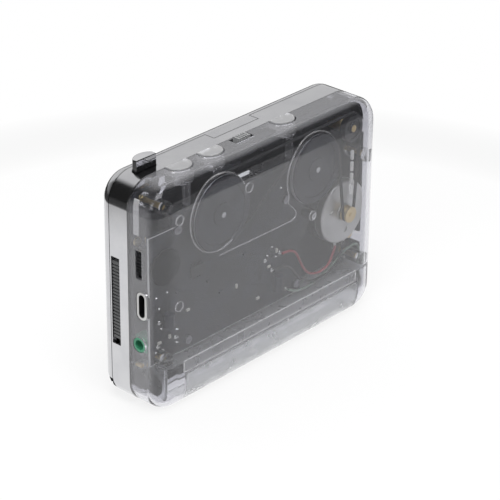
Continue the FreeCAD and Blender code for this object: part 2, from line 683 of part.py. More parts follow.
def chassis_rim():
    """Rim round the deck's -X end, with clearance for the motor, a pillar and the screw heads."""
    outset = WALL + DECK_MARGIN
    rear = DECK_REAR_Y + DECK_FLANGE_DEPTH
    rim = case_slab(outset, DECK_START_Y, rear).cut(case_slab(outset + DECK_THICKNESS, DECK_START_Y, rear))
    rim = rim.common(box(-HALF_LENGTH, -HALF_LENGTH + CORNER_RADIUS, 0, REAR_DEPTH, DECK_BOTTOM_Z, DECK_TOP_Z))
    rim = rim.cut(rod_y(MOTOR_X, MOTOR_Z, MOTOR_RADIUS + 4 * PART_GAP, 0, REAR_DEPTH))
    for pillar in case_pillars(PILLAR_RADIUS + PART_GAP, 0, REAR_DEPTH):
        rim = rim.cut(pillar)
    for x, z in FRAME_BOSSES:
        rim = rim.cut(box(x - RIM_NOTCH, x + RIM_NOTCH, DECK_REAR_Y, REAR_DEPTH, z - RIM_NOTCH, z + RIM_NOTCH))
    return rim


def make_chassis():
    """Black deck plate with a flange along its top edge and a rim at one end."""
    plate = case_slab(WALL + DECK_MARGIN, DECK_START_Y, DECK_REAR_Y)
    plate = plate.common(box(-HALF_LENGTH, HALF_LENGTH, 0, REAR_DEPTH, DECK_BOTTOM_Z, DECK_TOP_Z))
    flange = box(-HALF_LENGTH + CORNER_RADIUS, play_arm_span()[0] - 6, DECK_START_Y,
                 DECK_REAR_Y + DECK_FLANGE_DEPTH, DECK_TOP_Z - DECK_THICKNESS, DECK_TOP_Z)
    deck = plate.fuse(flange).fuse(chassis_rim())
    notch_z = KEY_BOTTOM_Z - KEY_TRAVEL - SLIDE_GAP
    for centre in KEY_CENTRES:
        low, high = key_span(centre)
        deck = deck.cut(box(low - 0.6, high + 0.6, 0, KEY_START_Y + KEY_DEPTH + 1, notch_z, DECK_TOP_Z + 1))
    low, high = switch_span()
    deck = deck.cut(box(low - 0.1, high + 0.1, 0, REAR_DEPTH, SWITCH_BOTTOM_Z, DECK_TOP_Z + 1))
    arm_low, arm_high = play_arm_span()
    deck = deck.cut(box(arm_low - 0.4, arm_high + 0.4, 0, REAR_DEPTH, BRIDGE_TOP_Z - 1.5, DECK_TOP_Z + 1))
    for x, z in (SOCKET_SIDE, MOTOR_SIDE):
        deck = deck.cut(rod_y(x, z, BUSH_RADIUS, 0, DECK_REAR_Y + 1))
    for side in (-1, 1):
        deck = deck.cut(rod_y(side * REEL_SPACING / 2, REEL_Z, SPINDLE_RADIUS + 1.2, 0, DECK_REAR_Y + 1))
        deck = deck.cut(rod_y(side * ARM_PIVOT_X, ARM_PIVOT_Z, ARM_PIN_RADIUS, 0, DECK_REAR_Y + 1))
        wheel_x, wheel_z = idler_wheel_place(side)
        deck = deck.cut(rod_y(wheel_x, wheel_z, REEL_PIN_RADIUS, 0, DECK_REAR_Y + 1))
    half_head = HEAD_WIDTH / 2 + 0.6
    deck = deck.cut(box(-half_head, half_head, 0, DECK_REAR_Y + 1,
                        BRIDGE_BOTTOM_Z - PLAY_TRAVEL, BRIDGE_TOP_Z + 0.3))
    for bore in case_pillars(SCREW_RADIUS + 0.15, 0, DECK_REAR_Y + 1):
        deck = deck.cut(bore)
    for x, z in FRAME_BOSSES:
        deck = deck.cut(rod_y(x, z, FRAME_SCREW_RADIUS + 0.15, 0, DECK_REAR_Y + 1))
    seats = [box(centre - 2.2, centre + 2.2, DECK_REAR_Y - 0.2, LEVER_Y + 1.9,
                 KEY_SPRING_SEAT_Z - SPRING_SEAT_THICKNESS, KEY_SPRING_SEAT_Z) for centre in KEY_CENTRES]
    seats.append(box(-2.4, 2.4, DECK_REAR_Y - 0.2, BRIDGE_SPRING_Y + 2.2,
                     BRIDGE_SPRING_SEAT_Z - SPRING_SEAT_THICKNESS, BRIDGE_SPRING_SEAT_Z))
    posts = [rod_y(x, z, BOARD_POST_RADIUS, DECK_REAR_Y - 0.2, BOARD_START_Y) for x, z in BOARD_POSTS]
    plate_posts = [rod_y(side * REEL_PLATE_POST_X, REEL_Z, 1.5, DECK_REAR_Y - 0.2, REEL_PLATE_Y)
                   for side in (-1, 1)]
    return join([deck] + seats + posts + plate_posts)


def idler_wheel_place(side):
    """Centre of the rubber wheel between a capstan and its reel."""
    share = (SHOULDER_RADIUS + DRIVE_GAP + IDLER_WHEEL_RADIUS) / IDLER_WHEEL_SPAN
    x = CAPSTAN_SPACING / 2 + (REEL_SPACING / 2 - CAPSTAN_SPACING / 2) * share
    return side * x, CAPSTAN_Z - REEL_DROP * share


def make_chassis_screws():
    """Screws from the bay side through the deck into the pillars."""
    screws = []
    for x, z in PILLARS:
        shaft = rod_y(x, z, SCREW_RADIUS, DECK_START_Y, DECK_REAR_Y + SCREW_LENGTH - 0.5)
        head = rod_y(x, z, SCREW_HEAD_RADIUS, DECK_START_Y - SCREW_HEAD_HEIGHT, DECK_START_Y)
        cross = box(x - 1.3, x + 1.3, DECK_START_Y - 2, DECK_START_Y - 0.4, z - 0.2, z + 0.2)
        screws.append(shaft.fuse(head).cut(cross))
    return Part.makeCompound(screws)


def make_frame_screws():
    """Screws from the back of the deck into the front frame's bosses."""
    screws = []
    for x, z in FRAME_BOSSES:
        shaft = rod_y(x, z, FRAME_SCREW_RADIUS, -BOSS_DEPTH + 0.6, DECK_REAR_Y)
        head = rod_y(x, z, FRAME_SCREW_HEAD, DECK_REAR_Y, DECK_REAR_Y + SCREW_HEAD_HEIGHT)
        cross = box(x - 1.0, x + 1.0, DECK_REAR_Y + 0.4, DECK_REAR_Y + 2, z - 0.2, z + 0.2)
        screws.append(shaft.fuse(head).cut(cross))
    return Part.makeCompound(screws)


def make_flywheel(place, radius):
    """Turned flywheel with a bevelled rim, lightening groove and hub."""
    x, z = place
    disc = rod_y(x, z, radius, FLYWHEEL_START_Y, FLYWHEEL_REAR_Y)
    disc = disc.makeChamfer(FLYWHEEL_BEVEL, edges_at_y(disc, FLYWHEEL_REAR_Y))
    groove = rod_y(x, z, radius - 2.4, FLYWHEEL_REAR_Y - 0.5, FLYWHEEL_REAR_Y + 1)
    groove = groove.cut(rod_y(x, z, HUB_RADIUS + 1.2, FLYWHEEL_REAR_Y - 1, FLYWHEEL_REAR_Y + 2))
    hub = rod_y(x, z, HUB_RADIUS, FLYWHEEL_START_Y - HUB_DEPTH, FLYWHEEL_START_Y)
    bore = rod_y(x, z, SHAFT_RADIUS, 0, REAR_DEPTH)
    return disc.cut(groove).fuse(hub).cut(bore).removeSplitter()


def make_capstan(place):
    """Ground steel shaft through the flywheel, the bush and the bay, with a shoulder that drives a wheel."""
    x, z = place
    shaft = rod_y(x, z, SHAFT_RADIUS, -CAPSTAN_REACH, REAR_DEPTH - WALL - 0.4)
    shoulder = rod_y(x, z, SHOULDER_RADIUS, DECK_REAR_Y + 0.6, REEL_PLATE_Y - 0.2)
    return shaft.fuse(shoulder).removeSplitter()


def make_capstan_bushes():
    """Bronze bushes in the deck."""
    bushes = []
    for x, z in (SOCKET_SIDE, MOTOR_SIDE):
        bush = rod_y(x, z, BUSH_RADIUS, DECK_START_Y - 1.5, DECK_REAR_Y + 0.3)
        bushes.append(bush.cut(rod_y(x, z, SHAFT_RADIUS + SHAFT_GAP, DECK_START_Y - 2, DECK_REAR_Y + 2)))
    return Part.makeCompound(bushes)


def make_motor():
    """Flat round motor can with a boss round its shaft."""
    can = rod_y(MOTOR_X, MOTOR_Z, MOTOR_RADIUS, MOTOR_START_Y, MOTOR_REAR_Y)
    can = can.makeFillet(0.8, edges_at_y(can, MOTOR_REAR_Y))
    boss = rod_y(MOTOR_X, MOTOR_Z, 3.4, MOTOR_REAR_Y - 0.5, MOTOR_REAR_Y + 0.5)
    bore = rod_y(MOTOR_X, MOTOR_Z, MOTOR_SHAFT_RADIUS + SHAFT_GAP, MOTOR_REAR_Y - 4, MOTOR_REAR_Y + 1)
    half = MOTOR_TAB_WIDTH / 2
    tabs = [box(x - half, x + half, MOTOR_REAR_Y - 2.4, MOTOR_REAR_Y - 1.8,
                MOTOR_Z - MOTOR_RADIUS - MOTOR_TAB_LENGTH, MOTOR_Z - MOTOR_RADIUS + 2) for x in MOTOR_TABS]
    motor = join([can, boss] + tabs).cut(bore)
    for degrees in (20, 140, 260):
        angle = math.radians(degrees)
        x = MOTOR_X + MOTOR_VENT_CIRCLE * math.cos(angle)
        z = MOTOR_Z + MOTOR_VENT_CIRCLE * math.sin(angle)
        motor = motor.cut(rod_y(x, z, MOTOR_VENT_RADIUS, MOTOR_REAR_Y - 0.4, MOTOR_REAR_Y + 1))
    return motor.removeSplitter()


def make_motor_ring():
    """Rubber ring that cushions the motor can."""
    bore = MOTOR_RADIUS + 0.02
    outer = rod_y(MOTOR_X, MOTOR_Z, MOTOR_RADIUS + MOTOR_RING_WIDTH,
                  MOTOR_START_Y, MOTOR_START_Y + MOTOR_RING_DEPTH)
    return outer.cut(rod_y(MOTOR_X, MOTOR_Z, bore, 0, REAR_DEPTH))


def make_motor_pulley():
    """Brass pulley on the motor's shaft."""
    start = BELT_START_Y - (PULLEY_DEPTH - BELT_WIDTH) / 2
    groove_gap = 0.15
    core = rod_y(MOTOR_X, MOTOR_Z, PULLEY_RADIUS, start, start + PULLEY_DEPTH)
    low = rod_y(MOTOR_X, MOTOR_Z, PULLEY_RADIUS + PULLEY_FLANGE, start, BELT_START_Y - groove_gap)
    high = rod_y(MOTOR_X, MOTOR_Z, PULLEY_RADIUS + PULLEY_FLANGE, BELT_START_Y + BELT_WIDTH + groove_gap,
                 start + PULLEY_DEPTH)
    shaft = rod_y(MOTOR_X, MOTOR_Z, MOTOR_SHAFT_RADIUS, MOTOR_REAR_Y - 3, start + PULLEY_DEPTH + 0.3)
    return join([core, low, high, shaft])


def make_idler_pulley():
    """Black plastic idler that turns the belt at the top corner."""
    disc = rod_y(IDLER_X, IDLER_Z, IDLER_RADIUS, FLYWHEEL_START_Y - 0.3, FLYWHEEL_REAR_Y)
    recess = rod_y(IDLER_X, IDLER_Z, IDLER_RADIUS - 1.2, FLYWHEEL_REAR_Y - 0.5, FLYWHEEL_REAR_Y + 1)
    recess = recess.cut(rod_y(IDLER_X, IDLER_Z, 2.0, 0, REAR_DEPTH))
    return disc.cut(recess).cut(rod_y(IDLER_X, IDLER_Z, IDLER_POST_RADIUS + SHAFT_GAP, 0, REAR_DEPTH))


def make_idler_post():
    """Brass stud that carries the idler."""
    stud = rod_y(IDLER_X, IDLER_Z, IDLER_POST_RADIUS, DECK_REAR_Y, FLYWHEEL_REAR_Y + 0.15)
    foot = rod_y(IDLER_X, IDLER_Z, 2.6, DECK_REAR_Y, FLYWHEEL_START_Y - 0.6)
    return stud.fuse(foot).removeSplitter()


def belt_wire(pulleys, y):
    """Closed belt line round pulleys: (x, z, radius, sense), sense 1 inside the loop and -1 outside."""
    spans = []
    count = len(pulleys)
    for index in range(count):
        x1, z1, r1, s1 = pulleys[index]
        x2, z2, r2, s2 = pulleys[(index + 1) % count]
        distance = math.hypot(x2 - x1, z2 - z1)
        heading = math.atan2(z2 - z1, x2 - x1)
        run = heading - math.asin((s2 * r2 - s1 * r1) / distance)
        right = (math.sin(run), -math.cos(run))
        leave = (x1 + s1 * r1 * right[0], z1 + s1 * r1 * right[1])
        arrive = (x2 + s2 * r2 * right[0], z2 + s2 * r2 * right[1])
        spans.append((leave, arrive))
    edges = []
    for index in range(count):
        leave, arrive = spans[index]
        edges.append(Part.makeLine(V(leave[0], y, leave[1]), V(arrive[0], y, arrive[1])))
        x, z, radius, sense = pulleys[(index + 1) % count]
        onward = spans[(index + 1) % count][0]
        first = math.atan2(arrive[1] - z, arrive[0] - x)
        last = math.atan2(onward[1] - z, onward[0] - x)
        sweep = (last - first) % (2 * math.pi)
        if sense < 0:
            sweep = sweep - 2 * math.pi
        middle = first + sweep / 2
        edges.append(Part.Arc(V(arrive[0], y, arrive[1]),
                              V(x + radius * math.cos(middle), y, z + radius * math.sin(middle)),
                              V(onward[0], y, onward[1])).toShape())
    return Part.Wire(edges)


def make_belt():
    """Flat rubber belt round both flywheels, the idler and the motor pulley."""
    loop = (
        (MOTOR_X, MOTOR_Z, PULLEY_RADIUS, 1),
        (MOTOR_SIDE[0], MOTOR_SIDE[1], MOTOR_FLYWHEEL_RADIUS, -1),
        (SOCKET_SIDE[0], SOCKET_SIDE[1], SOCKET_FLYWHEEL_RADIUS, 1),
        (IDLER_X, IDLER_Z, IDLER_RADIUS, 1),
    )
    inside = []
    outside = []
    for x, z, radius, sense in loop:
        near = radius + BELT_GAP
        far = near + BELT_THICKNESS
        inside.append((x, z, near if sense > 0 else far, sense))
        outside.append((x, z, far if sense > 0 else near, sense))
    outer = Part.Face(belt_wire(outside, BELT_START_Y))
    inner = Part.Face(belt_wire(inside, BELT_START_Y))
    return outer.cut(inner).extrude(V(0, BELT_WIDTH, 0))


def make_reel_spindle(side):
    """Reel table with a splined spindle that enters the cassette hub."""
    x = side * REEL_SPACING / 2
    start = REEL_START_Y
    table = rod_y(x, REEL_Z, REEL_RADIUS, start, start + REEL_THICKNESS)
    neck = rod_y(x, REEL_Z, SPINDLE_RADIUS + 0.8, DECK_START_Y - 0.9, start)
    stem = rod_y(x, REEL_Z, SPINDLE_RADIUS - 0.6, -SPINDLE_REACH + 1, start)
    cone = Part.makeCone(1.3, SPINDLE_RADIUS - 0.6, 1.2, V(x, -SPINDLE_REACH - 0.2, REEL_Z), Y_AXIS)
    parts = [table, neck, stem, cone]
    for index in range(SPINDLE_SPLINES):
        spline = box(x, x + SPINDLE_RADIUS, -SPINDLE_REACH + 1, DECK_START_Y - 1.5, REEL_Z - 0.5, REEL_Z + 0.5)
        spline.rotate(V(x, 0, REEL_Z), Y_AXIS, 360.0 / SPINDLE_SPLINES * index + 30)
        parts.append(spline)
    bore = rod_y(x, REEL_Z, REEL_PIN_RADIUS + SHAFT_GAP, -SPINDLE_REACH + 2, REAR_DEPTH)
    return join(parts).cut(bore)


def make_idler_wheel(side):
    """Rubber-rimmed wheel that passes the drive from a capstan to its reel."""
    x, z = idler_wheel_place(side)
    wheel = rod_y(x, z, IDLER_WHEEL_RADIUS, REEL_START_Y, REEL_START_Y + REEL_THICKNESS)
    return wheel.cut(rod_y(x, z, REEL_PIN_RADIUS + SHAFT_GAP, 0, REAR_DEPTH))


def make_pivot_pins():
    """Steel pins of the reels, the idler wheels and the pinch arms."""
    pins = []
    for side in (-1, 1):
        pins.append(rod_y(side * REEL_SPACING / 2, REEL_Z, REEL_PIN_RADIUS, -SPINDLE_REACH + 2.3,
                          REEL_PLATE_Y + REEL_PLATE_THICKNESS))
        x, z = idler_wheel_place(side)
        pins.append(rod_y(x, z, REEL_PIN_RADIUS, DECK_START_Y, REEL_PLATE_Y + REEL_PLATE_THICKNESS))
        pins.append(rod_y(side * ARM_PIVOT_X, ARM_PIVOT_Z, ARM_PIN_RADIUS,
                          ROLLER_START_Y - ARM_THICKNESS - 0.8, DECK_REAR_Y))
    return Part.makeCompound(pins)


def make_reel_plate():
    """Steel plate behind the reels and the idler wheels that holds their pins."""
    half = REEL_SPACING / 2 + 4.2
    y1 = REEL_PLATE_Y + REEL_PLATE_THICKNESS
    plate = rounded_slab(-half, half, REEL_Z - 4, REEL_Z + 4, 2.0, REEL_PLATE_Y, y1)
    wheel_z = idler_wheel_place(1)[1]
    for side in (-1, 1):
        wheel_x = idler_wheel_place(side)[0]
        ear = rounded_slab(wheel_x - 3.2, wheel_x + 3.2, REEL_Z - 1, wheel_z + 3.2, 1.5, REEL_PLATE_Y, y1)
        plate = plate.fuse(ear)
    for side in (-1, 1):
        plate = plate.cut(rod_y(side * REEL_SPACING / 2, REEL_Z, REEL_PIN_RADIUS, 0, REAR_DEPTH))
        plate = plate.cut(rod_y(idler_wheel_place(side)[0], wheel_z, REEL_PIN_RADIUS, 0, REAR_DEPTH))
    return plate.removeSplitter()


def play_arm_span():
    """Low and high X of the play key's arm."""
    return PLAY_KEY_X - 2.0, PLAY_KEY_X + 0.6


def make_play_key():
    """Plated key with the arm that pushes the head bridge."""
    low = PLAY_KEY_X - PLAY_KEY_WIDTH / 2
    high = PLAY_KEY_X + PLAY_KEY_WIDTH / 2
    top = BODY_HEIGHT + PLAY_KEY_PROUD
    cap = d_block(low, high, PLAY_KEY_REAR_Y, PLAY_KEY_REAR_Y - PLAY_KEY_DEPTH, BODY_HEIGHT - WALL - 1.7, top)
    rim = [edge for edge in cap.Edges if abs(edge.BoundBox.ZMin - top) < 1e-6]
    cap = cap.makeFillet(0.5, rim)
    arm_low, arm_high = play_arm_span()
    arm = box(arm_low, arm_high, PLAY_KEY_REAR_Y - 0.5, BRIDGE_START_Y + BRIDGE_THICKNESS,
              BODY_HEIGHT - WALL - 1.7, BODY_HEIGHT - WALL - 0.3)
    foot = box(arm_low, arm_high, BRIDGE_START_Y, BRIDGE_START_Y + BRIDGE_THICKNESS,
               PLAY_KEY_BOTTOM_Z, BODY_HEIGHT - WALL - 0.3)
    return join([cap, arm, foot])


def make_key(centre):
    """Clear key with its lever."""
    low, high = key_span(centre)
    cap = d_block(low, high, KEY_START_Y, KEY_START_Y + KEY_DEPTH, KEY_BOTTOM_Z, KEY_TOP_Z)
    rim = [edge for edge in cap.Edges if abs(edge.BoundBox.ZMin - KEY_TOP_Z) < 1e-6]
    cap = cap.makeFillet(0.6, rim)
    skirt_z = KEY_BOTTOM_Z - KEY_SKIRT
    skirt = d_block(low, high, KEY_START_Y, KEY_START_Y + KEY_DEPTH, skirt_z, KEY_BOTTOM_Z)
    skirt = skirt.common(box(low, high, SKIRT_START_Y, REAR_DEPTH, skirt_z, KEY_BOTTOM_Z))
    half = KEY_LEVER_WIDTH / 2
    lever = box(centre - half, centre + half, LEVER_START_Y, LEVER_START_Y + LEVER_DEPTH,
                KEY_LEVER_BOTTOM_Z, skirt_z)
    return join([cap, skirt, lever])


def make_key_spring(name, centre):
    """Spring between a key's lever and its seat on the deck."""
    return spring_between(name, centre, LEVER_Y, KEY_SPRING_SEAT_Z + SPRING_END_GAP,
                          KEY_LEVER_BOTTOM_Z - SPRING_END_GAP, KEY_SPRING, KEY_SPRING_TURNS)


def make_head_bridge():
    """Steel slide behind the deck with the head's mounting block."""
    rear = BRIDGE_START_Y + BRIDGE_THICKNESS
    plate_high = play_arm_span()[1] + 0.6
    plate = box(-16.0, plate_high, BRIDGE_START_Y, rear, BRIDGE_BOTTOM_Z, BRIDGE_TOP_Z)
    notch = box(-6.2, 6.2, 0, REAR_DEPTH, BRIDGE_TOP_Z - 2.0, BRIDGE_TOP_Z + 1)
    half_head = HEAD_WIDTH / 2
    shelf_z = CASSETTE_TOP_Z + 0.6 + HEAD_HEIGHT
    low_y = DECK_START_Y - 0.9
    high_y = DECK_START_Y - 0.2
    block = box(-half_head, half_head, low_y, BRIDGE_START_Y, BRIDGE_BOTTOM_Z + 0.2, BRIDGE_TOP_Z - 2.0)
    riser = box(-half_head, half_head, low_y, high_y, BRIDGE_BOTTOM_Z + 0.2, CASSETTE_TOP_Z + 0.6)
    shelf = box(-half_head, half_head, DECK_START_Y - HEAD_DEPTH - 1.6, high_y, shelf_z, shelf_z + 0.6)
    back = box(-half_head, half_head, low_y, high_y, CASSETTE_TOP_Z, shelf_z + 0.6)
    lip = box(-2.2, 2.2, BRIDGE_START_Y, BRIDGE_SPRING_Y + 1.8,
              BRIDGE_BOTTOM_Z, BRIDGE_BOTTOM_Z + BRIDGE_THICKNESS)
    return join([plate.cut(notch), block, riser, back, shelf, lip])


def make_bridge_spring():
    """Spring that lifts the head bridge."""
    return spring_between("bridge_spring", 0.0, BRIDGE_SPRING_Y,
                          BRIDGE_SPRING_SEAT_Z + SPRING_END_GAP, BRIDGE_BOTTOM_Z - SPRING_END_GAP,
                          BRIDGE_SPRING, BRIDGE_SPRING_TURNS)


def make_tape_head():
    """Head with a rounded face towards the tape."""
    half = HEAD_WIDTH / 2 - 0.8
    rear = DECK_START_Y - 1.2
    low = CASSETTE_TOP_Z + 0.5
    can = box(-half, half, rear - HEAD_DEPTH, rear, low, low + HEAD_HEIGHT)
    lower = [edge for edge in can.Edges
             if abs(edge.BoundBox.ZMax - low) < 1e-6 and edge.BoundBox.YLength > 1]
    return can.makeFillet(2.2, lower)


def roller_rest_x():
    """Distance of a resting pinch roller from the middle, so that its arm swings it over the capstan."""
    pressed_z = CAPSTAN_Z + SHAFT_RADIUS + ROLLER_RADIUS + ROLLER_STOP_GAP
    reach = math.hypot(ARM_PIVOT_X - CAPSTAN_SPACING / 2, ARM_PIVOT_Z - pressed_z)
    return ARM_PIVOT_X - math.sqrt(reach ** 2 - (ROLLER_Z - ARM_PIVOT_Z) ** 2)


def make_pinch_arm(side):
    """Arm that swings a pinch roller on to its capstan."""
    x_pivot = side * ARM_PIVOT_X
    x_roller = side * roller_rest_x()
    length = math.hypot(x_pivot - x_roller, ARM_PIVOT_Z - ROLLER_Z)
    heading = math.degrees(math.atan2(ROLLER_Z - ARM_PIVOT_Z, x_roller - x_pivot))
    front = ROLLER_START_Y - 0.25 - ARM_THICKNESS
    rear = ROLLER_START_Y + ROLLER_LENGTH + 0.25
    half = ARM_WIDTH / 2
    pieces = []
    for y in (front, rear):
        y1 = y + ARM_THICKNESS
        pieces.append(box(0, length, y, y1, -half, half))
        pieces.append(rod_y(0, 0, half, y, y1))
        pieces.append(rod_y(length, 0, half, y, y1))
    pieces.append(box(1.2, 5.0, front, rear + ARM_THICKNESS, -half, half))
    pieces.append(rod_y(length, 0, ARM_PIN_RADIUS, front, rear + ARM_THICKNESS))
    arm = join(pieces).cut(rod_y(0, 0, ARM_PIN_RADIUS + SHAFT_GAP, front - 1, rear + 2))
    arm.rotate(V(0, 0, 0), Y_AXIS, -heading)
    arm.translate(V(x_pivot, 0, ARM_PIVOT_Z))
    return arm


def make_pinch_roller(side):
    """Rubber roller on the arm's pin."""
    x = side * roller_rest_x()
    end = ROLLER_START_Y + ROLLER_LENGTH
    bore = rod_y(x, ROLLER_Z, ARM_PIN_RADIUS + SHAFT_GAP, ROLLER_START_Y - 1, end + 1)
    return rod_y(x, ROLLER_Z, ROLLER_RADIUS, ROLLER_START_Y, end).cut(bore)


def make_latch_slider():
    """Ribbed grip in the +X slot, with its flange and catch."""
    grip_face = HALF_LENGTH - 0.3
    top = LATCH_GRIP_BOTTOM_Z + LATCH_GRIP_LENGTH
    front = LATCH_SLOT_FRONT_Y + 0.2
    rear = LATCH_SLOT_REAR_Y - 0.2
    grip = box(INNER_X - 0.9, grip_face, front, rear, LATCH_GRIP_BOTTOM_Z, top)
    count = int(LATCH_GRIP_LENGTH / LATCH_RIB_PITCH) - 1
    for index in range(count):
        z = LATCH_GRIP_BOTTOM_Z + LATCH_RIB_PITCH * (index + 1)
        grip = grip.cut(box(grip_face - 0.45, grip_face + 1, front - 1, rear + 1, z - 0.25, z + 0.25))
    flange_x = INNER_X - 0.2
    flange = box(flange_x - LATCH_FLANGE, flange_x, FRAME_FRONT_Y + 0.1, rear + 0.5,
                 LATCH_FOOT_Z, top + 3.5)
    catch_low_x = LATCH_CATCH_X - LATCH_CATCH_WIDTH
    catch = box(catch_low_x, LATCH_CATCH_X, DOOR_REAR_Y - LATCH_CATCH_REACH, FRAME_FRONT_Y + 1.2,
                LATCH_CATCH_BOTTOM_Z, LATCH_CATCH_TOP_Z)
    strut = box(catch_low_x, flange_x - 0.3, FRAME_FRONT_Y + 0.1, FRAME_FRONT_Y + 1.2,
                LATCH_CATCH_BOTTOM_Z, LATCH_CATCH_TOP_Z)
    foot = box(LATCH_SPRING_X - 1.3, flange_x, LATCH_SPRING_Y - 1.3, LATCH_SPRING_Y + 1.3,
               LATCH_FOOT_Z, LATCH_FOOT_Z + 1.0)
    return join([grip, flange, catch, strut, foot])


def make_latch_spring():
    """Spring that lifts the latch slider."""
    return spring_between("latch_spring", LATCH_SPRING_X, LATCH_SPRING_Y,
                          LATCH_SPRING_SEAT_Z + SPRING_END_GAP, LATCH_FOOT_Z - SPRING_END_GAP,
                          LATCH_SPRING, LATCH_SPRING_TURNS)


def make_circuit_board():
    """Board with notches for the shell pillar, the socket and the flywheel hub."""
    y0 = BOARD_START_Y
    y1 = BOARD_REAR_Y
    board = box(BOARD_LEFT_X, BOARD_RIGHT_X, y0, y1, BOARD_BOTTOM_Z, BOARD_TOP_Z)
    step_x, step_z = PILLARS[0][0] - PILLAR_RADIUS - 3.2, PILLARS[0][1] - PILLAR_RADIUS - 7.5
    board = board.cut(box(step_x, BOARD_RIGHT_X + 1, y0 - 1, y1 + 1, step_z, BOARD_TOP_Z + 1))
    board = board.cut(usb_outline(0.15, HALF_LENGTH - 0.3 - USB_LENGTH, HALF_LENGTH))
    for x, z in (SOCKET_SIDE, MOTOR_SIDE):
        board = board.cut(rod_y(x, z, HUB_RADIUS + 1.0, y0 - 1, y1 + 1))
    for x, z in PILLARS:
        board = board.cut(rod_y(x, z, PILLAR_RADIUS + 0.4, y0 - 1, y1 + 1))
    return board


def make_board_screws():
    """Small screws that hold the board on the deck's posts."""
    screws = []
    for x, z in BOARD_POSTS:
        screws.append(rod_y(x, z, 1.5, BOARD_REAR_Y, BOARD_REAR_Y + 0.7).cut(
            box(x - 1.0, x + 1.0, BOARD_REAR_Y + 0.4, BOARD_REAR_Y + 1, z - 0.15, z + 0.15)))
    return Part.makeCompound(screws)


def make_amplifier_chip():
    """Flat black chip with two rows of legs."""
    x, z = CHIP_PLACE
    half_width = CHIP_SIZE[0] / 2
    half_height = CHIP_SIZE[1] / 2
    y = BOARD_REAR_Y
    body = box(x - half_width, x + half_width, y + 0.15, y + 1.0, z - half_height, z + half_height)
    legs = []
    for index in range(4):
        leg_x = x + CHIP_LEG_PITCH * (index - 1.5)
        for low in (z - half_height - 1.0, z + half_height - 0.1):
            legs.append(box(leg_x - 0.2, leg_x + 0.2, y, y + 0.5, low, low + 1.1))
    return join([body] + legs)


def make_capacitors():
    """Two round capacitors and small chip capacitors on the board."""
    y = BOARD_REAR_Y
    half_length = CHIP_CAPACITOR_SIZE[0] / 2
    half_width = CHIP_CAPACITOR_SIZE[1] / 2
    big = [rod_z(x, y + CAN_CAPACITOR_RADIUS, CAN_CAPACITOR_RADIUS, z0, z1) for x, z0, z1 in CAN_CAPACITORS]
    small = [box(x - half_length, x + half_length, y, y + 0.7, z - half_width, z + half_width)
             for x, z in CHIP_CAPACITORS]
    return Part.makeCompound(big + small)


def make_solder_joints():
    """Domed joints where the leads and sockets are soldered."""
    joints = []
    for x, z in SOLDER_PLACES:
        dome = Part.makeSphere(SOLDER_RADIUS, V(x, BOARD_REAR_Y - 0.35, z))
        joints.append(dome.common(box(x - 2, x + 2, BOARD_REAR_Y, BOARD_REAR_Y + 2, z - 2, z + 2)))
    return Part.makeCompound(joints)


def make_volume_pot():
    """Base and stud that the volume wheel turns on."""
    base = rod_y(VOLUME_X, VOLUME_Z, 4.4, VOLUME_START_Y + VOLUME_THICKNESS + 0.1, BOARD_START_Y)
    stud = rod_y(VOLUME_X, VOLUME_Z, VOLUME_STUD_RADIUS, VOLUME_START_Y - 0.3, BOARD_START_Y)
    return base.fuse(stud).removeSplitter()


def make_volume_wheel():
    """Knurled thumb wheel."""
    points = []
    for index in range(VOLUME_TEETH * 2):
        angle = math.pi * index / VOLUME_TEETH
        reach = VOLUME_RADIUS - (0.35 if index % 2 else 0.0)
        points.append(V(VOLUME_X + reach * math.cos(angle), VOLUME_START_Y, VOLUME_Z + reach * math.sin(angle)))
    points.append(points[0])
    disc = Part.Face(Part.makePolygon(points)).extrude(V(0, VOLUME_THICKNESS, 0))
    dish = rod_y(VOLUME_X, VOLUME_Z, VOLUME_RADIUS - 2.0, 0, VOLUME_START_Y + 0.5)
    dish = dish.cut(rod_y(VOLUME_X, VOLUME_Z, 2.6, 0, REAR_DEPTH))
    return disc.cut(dish).cut(rod_y(VOLUME_X, VOLUME_Z, VOLUME_STUD_RADIUS + SHAFT_GAP, 0, REAR_DEPTH))


def switch_span():
    """Low and high X of the slide switch's body."""
    reach = SWITCH_KNOB_WIDTH / 2 + SWITCH_TRAVEL + 0.7
    return SWITCH_X - reach, SWITCH_X + reach


def make_slide_switch():
    """Metal body of the slide switch, seated in the deck's notch."""
    low, high = switch_span()
    top = BODY_HEIGHT - WALL - 1.2
    body = box(low, high, 0.8, 4.2, SWITCH_BOTTOM_Z, top)
    return body.cut(box(low + 0.7, high - 0.7, 1.4, 3.6, SWITCH_BOTTOM_Z + 1.0, top + 1))


def make_switch_knob():
    """Ribbed knob of the slide switch."""
    half = SWITCH_KNOB_WIDTH / 2
    top = BODY_HEIGHT + 0.9
    cap = box(SWITCH_X - half, SWITCH_X + half, 1.0, 4.0, BODY_HEIGHT - WALL - 0.8, top)
    pitch = SWITCH_KNOB_WIDTH / SWITCH_RIBS
    for index in range(1, SWITCH_RIBS):
        x = SWITCH_X - half + pitch * index
        cap = cap.cut(box(x - 0.25, x + 0.25, 0, 5, top - 0.7, top + 1))
    stem = box(SWITCH_X - 1.2, SWITCH_X + 1.2, 1.6, 3.4, BODY_HEIGHT - WALL - 3.2, BODY_HEIGHT - WALL - 0.8)
    return cap.fuse(stem)


